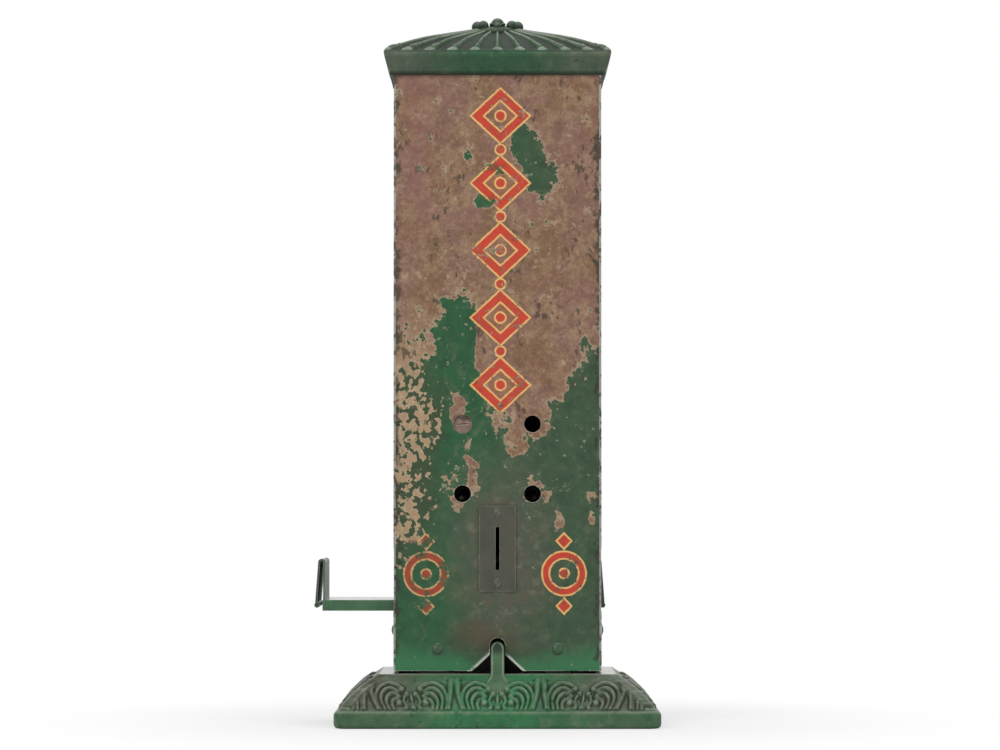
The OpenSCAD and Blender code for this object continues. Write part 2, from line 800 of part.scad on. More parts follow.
// Pull tab in side view at the right-hand end: inner leaf, top bend, slanting outer leaf, bead
module tab_profile() {
    top_r = tab_top_w / 2;
    bead_r = 1.3;
    bend_z = tab_h - top_r;
    foot_z = -tray_h + 2 * bead_r;
    lean = tab_w - tab_top_w - bead_r + sheet;
    translate([0, -sheet]) square([sheet, bend_z + sheet]);
    translate([top_r, bend_z]) intersection() {
        difference() {
            circle(top_r);
            circle(top_r - sheet);
        }
        translate([-top_r, 0]) square([2 * top_r, top_r]);
    }
    polygon([[tab_top_w - sheet, bend_z], [tab_top_w, bend_z],
             [tab_top_w + lean, foot_z], [tab_top_w + lean - sheet, foot_z]]);
    translate([tab_w - bead_r, foot_z]) circle(bead_r);
}

module shuttle_tray() {
    flange_len = shuttle_len - 2 * tab_w + 2;
    color("forestgreen") translate([shuttle_x, 0, 0]) difference() {
        union() {
            translate([-shuttle_len / 2 + tab_w, -tray_d / 2, tray_top - sheet])
                cube([shuttle_len - 2 * tab_w, tray_d, sheet]);
            for (y = [-tray_d / 2, tray_d / 2 - sheet])
                translate([-flange_len / 2, y, tray_z0]) cube([flange_len, sheet, tray_h]);
            both_sides() translate([shuttle_len / 2 - tab_w, tab_d / 2, tray_top])
                rotate([90, 0, 0]) linear_extrude(tab_d) tab_profile();
        }
        coin_slots(stroke, 2 * bridge_slot_w, 2, tray_top);
        bridge_rivet_places() cylinder(r = screw_r + pin_gap, h = 4 * sheet, center = true);
        for (s = [-1, 1]) front_screw_hole(s * knife_screw_x, -tray_d / 2, knife_screw_z, sheet);
    }
}

// Four rivets through the bridge's feet, at the top face of the tray
module bridge_rivet_places() {
    for (sx = [-1, 1], sy = [-1, 1])
        translate([sx * (bridge_len / 2 - 5), sy * bridge_d / 3, tray_top]) children();
}

module shuttle_bridge() {
    foot = 9;
    half = bridge_len / 2;
    color("cadetblue") translate([shuttle_x, 0, 0]) difference() {
        translate([0, bridge_d / 2, 0]) rotate([90, 0, 0]) linear_extrude(bridge_d) {
            translate([-half, bridge_top - sheet]) square([bridge_len, sheet]);
            for (x = [-half, half - sheet]) translate([x, tray_top]) square([sheet, box_h]);
            for (x = [-half, half - foot]) translate([x, tray_top]) square([foot, sheet]);
        }
        coin_slots(stroke, bridge_slot_w, 0, bridge_top);
        bridge_rivet_places() cylinder(r = screw_r + pin_gap, h = 4 * sheet, center = true);
    }
}

module bridge_rivets() {
    color("dimgray") translate([shuttle_x, 0, 0]) bridge_rivet_places()
        translate([0, 0, -sheet]) rivet(screw_r, 2 * sheet);
}

module cutter_knife() {
    blade_z0 = base_h + blade_gap;
    blade_top = tray_z0;
    color("lightsteelblue") translate([shuttle_x, knife_y, 0]) difference() {
        rotate([90, 0, 0]) translate([0, 0, -knife_t]) linear_extrude(knife_t) {
            translate([-knife_tab_w / 2, tray_z0]) square([knife_tab_w, tray_h]);
            polygon([[-blade_w / 2, blade_z0], [blade_w / 2, blade_z0],
                     [blade_w / 2, blade_top - knife_flare], [blade_w / 2 + knife_flare, blade_top + 1],
                     [-blade_w / 2 - knife_flare, blade_top + 1], [-blade_w / 2, blade_top - knife_flare]]);
        }
        for (s = [-1, 1]) front_screw_hole(s * knife_screw_x, 0, knife_screw_z, knife_t);
    }
}

module knife_screws() {
    color("gray") translate([shuttle_x, 0, 0]) for (s = [-1, 1])
        dome_screw_y(s * knife_screw_x, knife_y, knife_screw_z, 2.2, 1.2, screw_r, knife_t + sheet + 0.5, 30);
}

// Lid casting: one closed surface of rings, from the inside of the roof, round the lower edge and up
// the fluted slope to the top

flute_steps = 4;
eave_in = 5;
roof_t = 3;
inner_pocket = 0.55;
slope_rings = [0.95, 0.88, 0.72, 0.5, 0.3];
front_steps = flutes_front * flute_steps;
side_steps = flutes_side * flute_steps;

// Outline of the lid as fractions of its half sizes, starting at the left front corner
lid_outline = concat(
    [for (i = [0 : front_steps - 1]) [-1 + 2 * i / front_steps, -1]],
    [for (i = [0 : side_steps - 1]) [1, -1 + 2 * i / side_steps]],
    [for (i = [0 : front_steps - 1]) [1 - 2 * i / front_steps, 1]],
    [for (i = [0 : side_steps - 1]) [-1, 1 - 2 * i / side_steps]]);
outline_n = len(lid_outline);

function limit(v, most) = max(-most, min(most, v));

// Point of a rounded rectangle in the direction of a unit-square point
function rounded_point(u, hx, hy, r) =
    let (p = [u[0] * hx, u[1] * hy],
         c = [limit(p[0], hx - r), limit(p[1], hy - r)],
         d = p - c)
    d[0] != 0 && d[1] != 0 ? c + r * d / norm(d) : p;

function lid_ring(hx, hy, z, r, depth) =
    [for (i = [0 : outline_n - 1])
        let (p = rounded_point(lid_outline[i], hx, hy, r),
             flute = sin(180 * (i % flute_steps) / flute_steps))
        [p[0], p[1], z - depth * flute]];

module lid_surface() {
    ceiling_z = eave_z - roof_t;
    in_x = half_w - lid_ledge;
    in_y = half_d - lid_ledge;
    lap_x = half_w + lid_gap;
    lap_y = half_d + lid_gap;
    top_x = lid_w / 2 - eave_in;
    top_y = lid_d / 2 - eave_in;
    rings = concat(
        [lid_ring(in_x * inner_pocket, in_y * inner_pocket, ceiling_z, 2, 0),
         lid_ring(in_x, in_y, ceiling_z, 2, 0),
         lid_ring(in_x, in_y, body_top, 2, 0),
         lid_ring(lap_x, lap_y, body_top, bend_r, 0),
         lid_ring(lap_x, lap_y, lid_z0, bend_r, 0),
         lid_ring(half_w + lid_rim, half_d + lid_rim, lid_z0, bend_r + 1, 0)],
        [for (a = [0, 30, 60, 90])
            lid_ring(lid_w / 2 - eave_in * (1 - cos(a)), lid_d / 2 - eave_in * (1 - cos(a)),
                     lid_wide_z + eave_h * sin(a), lid_corner_r, 0)],
        [for (s = slope_rings)
            lid_ring(top_x * s, top_y * s, eave_z + lid_rise * (1 - s) + roof_bulge * sin(180 * s * s),
                     lid_corner_r * s, s > 0.9 ? 0 : flute_depth * s)]);
    n = outline_n;
    last = len(rings) - 1;
    centre_in = [0, 0, lid_apex_z - roof_t - 2];
    apex = [0, 0, lid_apex_z];
    points = concat([for (ring = rings) each ring], [centre_in, apex]);
    in_i = len(points) - 2;
    apex_i = len(points) - 1;
    faces = concat(
        [for (i = [0 : n - 1]) [in_i, i, (i + 1) % n]],
        [for (k = [0 : last - 1], i = [0 : n - 1])
            [k * n + i, (k + 1) * n + i, (k + 1) * n + (i + 1) % n]],
        [for (k = [0 : last - 1], i = [0 : n - 1])
            [k * n + i, (k + 1) * n + (i + 1) % n, k * n + (i + 1) % n]],
        [for (i = [0 : n - 1]) [last * n + i, apex_i, last * n + (i + 1) % n]]);
    polyhedron(points, faces);
}

module finial() {
    lobes = 8;
    translate([0, 0, lid_apex_z - 0.8]) sphere(boss_r);
    translate([0, 0, lid_apex_z - 5]) cylinder(r = lobe_ring_r, h = 4.2);
    for (i = [0 : lobes - 1]) rotate([0, 0, i * 360 / lobes])
        translate([lobe_ring_r, 0, lid_apex_z - 1.7]) sphere(lobe_r);
}

// Screw that holds the lid catch to the ceiling of the lid
catch_screw_x = catch_x + catch_t + catch_pad / 2;
catch_screw_y = lid_cam_y + cam_t / 2;
catch_screw_len = 4;

module lid_casting() {
    color("darkgreen") difference() {
        union() {
            lid_surface();
            finial();
        }
        translate([catch_screw_x, catch_screw_y, eave_z - roof_t - cut])
            cylinder(r = screw_r + pin_gap, h = catch_screw_len + cut);
    }
}

// Hooked strap under the lid: the lock's cam swings in above its foot
module lid_catch() {
    ceiling_z = eave_z - roof_t;
    foot_top = lid_lock_z - cam_half_w - 0.5;
    foot_z = foot_top - catch_t;
    y0 = lid_cam_y + cam_t / 2 - catch_depth / 2;
    color("gray") difference() {
        union() {
            translate([catch_x, y0, foot_z]) cube([catch_t, catch_depth, ceiling_z - foot_z]);
            translate([catch_x - catch_foot, y0, foot_z]) cube([catch_foot, catch_depth, catch_t]);
            translate([catch_x, catch_screw_y - catch_pad / 2, ceiling_z - catch_t])
                cube([catch_t + catch_pad, catch_pad, catch_t]);
        }
        translate([catch_screw_x, catch_screw_y, ceiling_z - catch_t - cut])
            cylinder(r = screw_r + pin_gap, h = catch_t + 2 * cut);
    }
}

module lid_catch_screw() {
    color("silver") translate([catch_screw_x, catch_screw_y, eave_z - roof_t - catch_t]) {
        mirror([0, 0, 1]) dome(3, 1.5);
        cylinder(r = screw_r, h = catch_t + catch_screw_len - 0.5);
    }
}

// Cam locks, all with their axis along Y and their key side towards the rear

sleeve_gap = 0.4;
cam_screw_r = 1.2;

module lock_barrel(y_face, y_cam, z) {
    y_in = y_cam + cam_t + sleeve_gap;
    color("silver") difference() {
        union() {
            rod_y(0, y_in, z, barrel_r, y_face - y_in);
            rod_y(0, y_face, z, barrel_r + 1.5, bezel_t);
        }
        rod_y(0, y_in - cut, z, plug_r + pin_gap, y_face - y_in + bezel_t + 2 * cut);
    }
}

module lock_nut(y_seat, z) {
    color("gray") difference() {
        translate([0, y_seat - nut_t, z])
            rotate([-90, 0, 0]) cylinder(r = barrel_r + 2.5, h = nut_t, $fn = 6);
        rod_y(0, y_seat - nut_t - cut, z, barrel_r + pin_gap, nut_t + 2 * cut);
    }
}

module lock_plug(y_face, y_cam, z) {
    y_out = y_face + bezel_t - 0.3;
    shoulder = y_cam + cam_t;
    key_w = 1.2;
    key_h = 6;
    key_depth = 2;
    color("goldenrod") difference() {
        union() {
            rod_y(0, shoulder, z, plug_r, y_out - shoulder);
            rod_y(0, y_cam, z, stub_r, cam_t);
        }
        translate([-key_w / 2, y_out - key_depth, z - key_h / 2]) cube([key_w, key_depth + cut, key_h]);
        rod_y(0, y_cam - cut, z, cam_screw_r + pin_gap, cam_t + 2 + cut);
    }
}

// Arm that points towards +Z before it is turned by the given angle about +Y
module lock_cam(y_cam, z, reach, angle) {
    color("gray") translate([0, y_cam + cam_t, z]) rotate([0, angle, 0]) rotate([90, 0, 0])
        linear_extrude(cam_t) difference() {
            union() {
                circle(cam_half_w + 1);
                translate([-cam_half_w, 0]) square([2 * cam_half_w, reach - cam_half_w]);
                translate([0, reach - cam_half_w]) circle(cam_half_w);
            }
            circle(stub_r + pin_gap);
        }
}

module cam_screw(y_cam, z) {
    color("silver") dome_screw_y(0, y_cam, z, cam_half_w, 1.4, cam_screw_r, cam_t + 1.5, 0);
}

module lid_lock_barrel() {
    lock_barrel(half_d, lid_cam_y, lid_lock_z);
}

module lid_lock_nut() {
    lock_nut(rear_in, lid_lock_z);
}

module lid_lock_plug() {
    lock_plug(half_d, lid_cam_y, lid_lock_z);
}

module lid_lock_cam() {
    lock_cam(lid_cam_y, lid_lock_z, lid_cam_reach, 0);
}

module lid_cam_screw() {
    cam_screw(lid_cam_y, lid_lock_z);
}

// Cash drawer: tray with a face plate whose upper edge turns out as a pull

module cash_drawer() {
    t = 0.8;
    face_w = drawer_w + 2 * drawer_face_lap;
    face_h = drawer_h + drawer_face_lap;
    pull = 7;
    y0 = half_d - drawer_d;
    color("dimgray") difference() {
        union() {
            translate([-drawer_w / 2, y0, drawer_z0]) difference() {
                cube([drawer_w, drawer_d, drawer_h]);
                translate([t, t, t]) cube([drawer_w - 2 * t, drawer_d, drawer_h]);
            }
            translate([-face_w / 2, half_d, drawer_z0]) cube([face_w, drawer_face_t, face_h]);
            translate([-face_w / 2, half_d, drawer_z0 + face_h - drawer_face_t])
                cube([face_w, pull, drawer_face_t]);
        }
        rod_y(0, half_d - cut, drawer_lock_z, barrel_r + pin_gap, drawer_face_t + 2 * cut);
    }
}

module drawer_lock_barrel() {
    lock_barrel(half_d + drawer_face_t, drawer_cam_y, drawer_lock_z);
}

module drawer_lock_nut() {
    lock_nut(half_d, drawer_lock_z);
}

module drawer_lock_plug() {
    lock_plug(half_d + drawer_face_t, drawer_cam_y, drawer_lock_z);
}

module drawer_lock_cam() {
    lock_cam(drawer_cam_y, drawer_lock_z, drawer_cam_reach, 90);
}

module drawer_cam_screw() {
    cam_screw(drawer_cam_y, drawer_lock_z);
}

base_casting();
body_shell();
rear_panel();
guide_rivets();
deck_plate();
column_guide_left();
column_guide_right();
guide_bolt();
guide_nut();
coin_plate();
coin_plate_screws();
coin_chute();
pawl_pin();
front_foot_screws();
side_foot_screws();
lid_lock_barrel();
lid_lock_nut();
shuttle_tray();
shuttle_bridge();
bridge_rivets();
cutter_knife();
knife_screws();
lock_pawl();
lid_casting();
lid_catch();
lid_catch_screw();
lid_lock_plug();
lid_lock_cam();
lid_cam_screw();
cash_drawer();
drawer_lock_barrel();
drawer_lock_nut();
drawer_lock_plug();
drawer_lock_cam();
drawer_cam_screw();
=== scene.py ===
"""Looks of a counter match vending machine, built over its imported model."""
import math

import bpy
import numpy as np
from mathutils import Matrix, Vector


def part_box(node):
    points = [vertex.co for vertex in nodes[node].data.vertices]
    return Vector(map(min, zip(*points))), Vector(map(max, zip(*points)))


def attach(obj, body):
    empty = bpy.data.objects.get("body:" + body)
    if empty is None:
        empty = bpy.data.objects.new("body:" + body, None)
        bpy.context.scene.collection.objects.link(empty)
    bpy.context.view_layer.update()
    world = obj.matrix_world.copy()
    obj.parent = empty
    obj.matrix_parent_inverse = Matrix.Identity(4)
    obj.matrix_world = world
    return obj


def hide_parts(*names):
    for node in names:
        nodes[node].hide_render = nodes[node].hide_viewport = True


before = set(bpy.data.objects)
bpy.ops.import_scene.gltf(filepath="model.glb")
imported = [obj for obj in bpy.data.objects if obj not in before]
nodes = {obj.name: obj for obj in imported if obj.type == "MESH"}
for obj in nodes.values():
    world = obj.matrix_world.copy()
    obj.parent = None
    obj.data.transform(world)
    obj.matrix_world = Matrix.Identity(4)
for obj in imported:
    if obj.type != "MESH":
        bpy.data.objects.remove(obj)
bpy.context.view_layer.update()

MM = 0.001

# Colours


def tone(red, green, blue):
    """Linear colour of display values from 0 to 255."""
    values = [c / 255 for c in (red, green, blue)]
    return tuple(v / 12.92 if v <= 0.04045 else ((v + 0.055) / 1.055) ** 2.4 for v in values) + (1.0,)


GREEN_RICH = tone(42, 92, 58)
GREEN_SOFT = tone(62, 86, 62)
GREEN_SHEEN = tone(58, 128, 84)
GREEN_DARK = tone(30, 52, 38)
GREEN_GREY = tone(82, 88, 74)
CAST_GREY = tone(76, 80, 64)
CAST_DARK = tone(30, 38, 30)
TAN = tone(172, 145, 112)
BROWN = tone(127, 94, 70)
BROWN_PINK = tone(132, 96, 85)
BROWN_DARK = tone(66, 56, 44)
BARE_METAL = tone(150, 148, 140)
SOOT_AND_SHADE = tone(26, 28, 25)
MOTIF_RED = tone(204, 64, 44)
MOTIF_RED_WORN = tone(150, 66, 48)
MOTIF_GOLD = tone(230, 186, 116)
MOTIF_TINT = tone(172, 92, 62)
GREEN_RUBBED = tone(112, 118, 92)
GREEN_OLIVE = tone(66, 68, 48)
PAINT_DOT = tone(156, 158, 128)
PAINT_EDGE = tone(150, 156, 140)
WORN_BROWN = tone(96, 86, 72)
SMEAR_GREY = tone(128, 128, 108)
STAIN_BROWN = tone(92, 70, 56)
BROWN_CLOUD = tone(98, 76, 60)
BROWN_MOTTLE = tone(92, 72, 58)
BROWN_ROSE = tone(142, 98, 92)
CHIP_TAN = tone(186, 160, 124)
CHIP_RIM = tone(192, 174, 144)
EDGE_DIRT = tone(52, 48, 38)
CORNER_DARK = tone(58, 54, 46)
EDGE_BRIGHT = tone(218, 220, 212)
INSIDE_LIGHT = tone(88, 84, 76)
INSIDE_DARK = tone(58, 52, 45)
CAST_RUBBED = tone(122, 128, 108)
CAST_RUST = tone(98, 84, 64)
CAST_END = tone(94, 102, 88)
SHELF_REFLECTION = tone(190, 193, 182)
RUST = tone(78, 56, 40)
BOLT_BROWN = tone(142, 114, 98)
BOLT_DIM = tone(112, 88, 76)
BOLT_SHADE = tone(46, 40, 36)
BOLT_LIT = tone(168, 150, 134)
BOLT_RUBBED = tone(204, 194, 180)
TRAY_GREEN = tone(52, 92, 62)
TRAY_LIGHT = tone(66, 106, 74)
TRAY_RUST = tone(112, 96, 74)
TRAY_BRIGHT = tone(190, 188, 176)
TAB_GREY = tone(66, 72, 66)
TAB_GREEN = tone(52, 66, 56)
TIN_LIGHT = tone(104, 102, 96)
TIN_DULL = tone(70, 66, 60)

# Material graphs


class Graph:
    """A material's node tree, with short calls for the nodes that the finishes are made of."""

    def __init__(self, name):
        self.material = bpy.data.materials.new(name)
        self.material.use_nodes = True
        self.tree = self.material.node_tree
        self.tree.nodes.clear()
        self.shader = self.tree.nodes.new("ShaderNodeBsdfPrincipled")
        out = self.tree.nodes.new("ShaderNodeOutputMaterial")
        self.tree.links.new(self.shader.outputs["BSDF"], out.inputs["Surface"])
        coords = self.tree.nodes.new("ShaderNodeTexCoord")
        self.place = self.node("ShaderNodeVectorMath", {0: coords.outputs["Object"], "Scale": 1 / MM},
                               operation="SCALE").outputs[0]
        self.x, self.y, self.z = self.node("ShaderNodeSeparateXYZ", {0: self.place}).outputs

    def put(self, socket, value):
        if isinstance(value, bpy.types.NodeSocket):
            self.tree.links.new(value, socket)
        else:
            socket.default_value = value

    def node(self, kind, inputs, **settings):
        made = self.tree.nodes.new(kind)
        for key, value in settings.items():
            setattr(made, key, value)
        for key, value in inputs.items():
            self.put(made.inputs[key], value)
        return made

    def math(self, operation, a, b=0.0, clamp=False):
        return self.node("ShaderNodeMath", {0: a, 1: b}, operation=operation, use_clamp=clamp).outputs[0]

    def add(self, a, b):
        return self.math("ADD", a, b)

    def take(self, a, b):
        return self.math("SUBTRACT", a, b)

    def times(self, a, b):
        return self.math("MULTIPLY", a, b)

    def most(self, *values):
        made = values[0]
        for value in values[1:]:
            made = self.math("MAXIMUM", made, value)
        return made

    def least(self, *values):
        made = values[0]
        for value in values[1:]:
            made = self.math("MINIMUM", made, value)
        return made

    def invert(self, a):
        return self.math("SUBTRACT", 1.0, a)

    def band(self, value, low, high):
        """Smooth step from 0 at low to 1 at high; low may be the larger."""
        return self.node("ShaderNodeMapRange", {"Value": value, "From Min": low, "From Max": high},
                         interpolation_type="SMOOTHSTEP").outputs[0]

    def noise(self, size, seed, detail=4.0, rough=0.55, distort=0.0, place=None):
        """Noise from 0 to 1 whose blotches are about size millimetres wide."""
        return self.node("ShaderNodeTexNoise",
                         {"Vector": place or self.place, "W": seed, "Scale": 1 / size, "Detail": detail,
                          "Roughness": rough, "Distortion": distort}, noise_dimensions="4D").outputs[0]

    def mix(self, factor, a, b):
        return self.node("ShaderNodeMix", {0: factor, 6: a, 7: b}, data_type="RGBA").outputs[2]

    def blend(self, factor, a, b):
        return self.node("ShaderNodeMix", {0: factor, 2: a, 3: b}, data_type="FLOAT").outputs[0]

    def length(self, a, b):
        return self.math("SQRT", self.add(self.times(a, a), self.times(b, b)))

    def blot(self, x, z, centre, radii, soft=0.35):
        """Soft ellipse on the front, in millimetres."""
        across = self.math("DIVIDE", self.take(x, centre[0]), radii[0])
        up = self.math("DIVIDE", self.take(z, centre[1]), radii[1])
        return self.band(self.length(across, up), 1 + soft, 1 - soft)

    def edges(self, radius):
        """0 on flat faces, rising to 1 along edges that are sharper than the given radius in millimetres."""
        rounded = self.node("ShaderNodeBevel", {"Radius": radius * MM}, samples=6).outputs[0]
        plain = self.tree.nodes.new("ShaderNodeNewGeometry").outputs["Normal"]
        turn = self.node("ShaderNodeVectorMath", {0: rounded, 1: plain},
                         operation="DOT_PRODUCT").outputs["Value"]
        return self.band(turn, 0.995, 0.86)

    def attribute(self, name):
        return self.node("ShaderNodeAttribute", {}, attribute_name=name).outputs["Fac"]

    def bump(self, height, depth, normal=None):
        """Bump of the given depth in millimetres."""
        inputs = {"Height": height, "Strength": 1.0, "Distance": depth * MM}
        if normal is not None:
            inputs["Normal"] = normal
        return self.node("ShaderNodeBump", inputs).outputs[0]

    def finish(self, colour, roughness, normal=None, metallic=0.0, specular=0.5):
        self.put(self.shader.inputs["Base Color"], colour)
        self.put(self.shader.inputs["Roughness"], roughness)
        self.put(self.shader.inputs["Metallic"], metallic)
        self.put(self.shader.inputs["Specular IOR Level"], specular)
        if normal is not None:
            self.put(self.shader.inputs["Normal"], normal)
        return self.material


# Painted sheet of the body

FRONT_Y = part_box("coin_plate")[1].y / MM
BODY_HALF_W = -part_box("body_shell")[0].x / MM
MOTIF_X = 1.4
MOTIF_Z0 = 147.0
MOTIF_PITCH = 32.4
MOTIF_COUNT = 5
LOZENGE_HALF = (15.0, 14.0)
LOZENGE_BAND = 5.2
LOZENGE_DOT_R = 3.0
LINK_DOT_R = 2.9
ROUNDELS = ((-34.3, 72.5), (31.9, 72.8))
HOOP_R = 11.0
HOOP_BAND = 4.4
HOOP_DOT_R = 2.8
TIP_RISE = 15.6
TIP_HALF = (4.2, 4.4)
STRIP_Z = 33.0
STRIP_LOW_Z = 27.0
STRIP_RISE = 0.24
FLECK_STRETCH = (1.5, 1.0, 0.8)

# Clouds on the front: middle and radii
SPOTTED = ((-42, 132), (16, 54))
STREAK = ((-38, 282), (6, 44))
WORN = ((1, 80), (22, 40))
STAIN = ((-9, 41), (15, 8))

# Height of the line where the green paint gives way to brown, across the front from left to right
PAINT_LINE = ((-50, 166), (-41, 168), (-34, 176), (-27, 194), (-19, 212), (-12, 204), (-7, 164), (2, 148),
              (13, 146), (24, 158), (36, 170), (50, 184))

# Patches on the front: middle, radii and weight
PAINT_KEPT = (((15, 279), (7, 10), 1.0), ((21, 262), (6.5, 11), 1.0), ((2, 267), (7, 4), 0.8),
              ((-7, 252), (5, 4), 0.8), ((-14, 277), (4, 8), 0.5), ((-49, 206), (2.5, 12), 0.9))
PAINT_LOST = (((19.5, 143.5), (7, 7.5), 0.9), ((-19, 112.5), (7, 8), 0.6), ((19, 112), (6.5, 7), 0.75),
              ((-16.8, 145), (7, 6.5), 0.45), ((-10.5, 125), (3.2, 15), 0.75), ((9.4, 136), (3.6, 10), 0.75),
              ((44, 107), (3.2, 3.2), 0.8), ((28, 100), (2.6, 4.6), 0.8), ((46, 96), (2.6, 5), 0.7),
              ((-21, 153), (5, 6), 0.7), ((20, 160), (9, 6), 0.5))


def paint_line(g, x):
    """Height in millimetres of the paint's upper limit at x."""
    made = PAINT_LINE[0][1]
    for (x0, z0), (x1, z1) in zip(PAINT_LINE, PAINT_LINE[1:]):
        made = g.add(made, g.times(g.band(x, x0, x1), z1 - z0))
    return made


def lozenge(g, x, z, half_w, half_h):
    """Signed distance from the edge of a lozenge."""
    size = math.hypot(half_w, half_h)
    rise = g.add(g.times(g.math("ABSOLUTE", x), half_h / size), g.times(g.math("ABSOLUTE", z), half_w / size))
    return g.take(rise, half_w * half_h / size)


def ring(g, distance, width):
    """Signed distance from a band of the given width just inside an edge."""
    return g.take(g.math("ABSOLUTE", g.add(distance, width / 2)), width / 2)


def motif_chain(g):
    """Signed distances from the chain of lozenges and dots on the front, and from the outlines alone."""
    x = g.take(g.x, MOTIF_X)
    up = g.math("DIVIDE", g.take(g.z, MOTIF_Z0), MOTIF_PITCH)
    step = g.math("FLOOR", up)
    z = g.times(g.take(g.take(up, step), 0.5), MOTIF_PITCH)
    outline = lozenge(g, x, z, *LOZENGE_HALF)
    frame_ring = ring(g, outline, LOZENGE_BAND)
    dot = g.take(g.length(x, z), LOZENGE_DOT_R)
    joint = g.take(g.length(x, g.take(MOTIF_PITCH / 2, g.math("ABSOLUTE", z))), LINK_DOT_R)
    between = g.least(g.take(up, 0.3), g.take(MOTIF_COUNT - 0.3, up))
    joint = g.most(joint, g.times(between, -MOTIF_PITCH))
    inside = g.least(up, g.take(MOTIF_COUNT, up))
    outside = g.times(inside, -MOTIF_PITCH)
    return g.most(g.least(frame_ring, dot, joint), outside), g.most(outline, outside)


def roundel(g, centre_x, centre_z):
    """Signed distance from a ring with a dot inside and a small lozenge above and below."""
    x = g.take(g.x, centre_x)
    z = g.take(g.z, centre_z)
    hoop = ring(g, g.take(g.length(x, z), HOOP_R), HOOP_BAND)
    dot = g.take(g.length(x, z), HOOP_DOT_R)
    tip = lozenge(g, x, g.take(TIP_RISE, g.math("ABSOLUTE", z)), *TIP_HALF)
    return g.least(hoop, dot, tip)


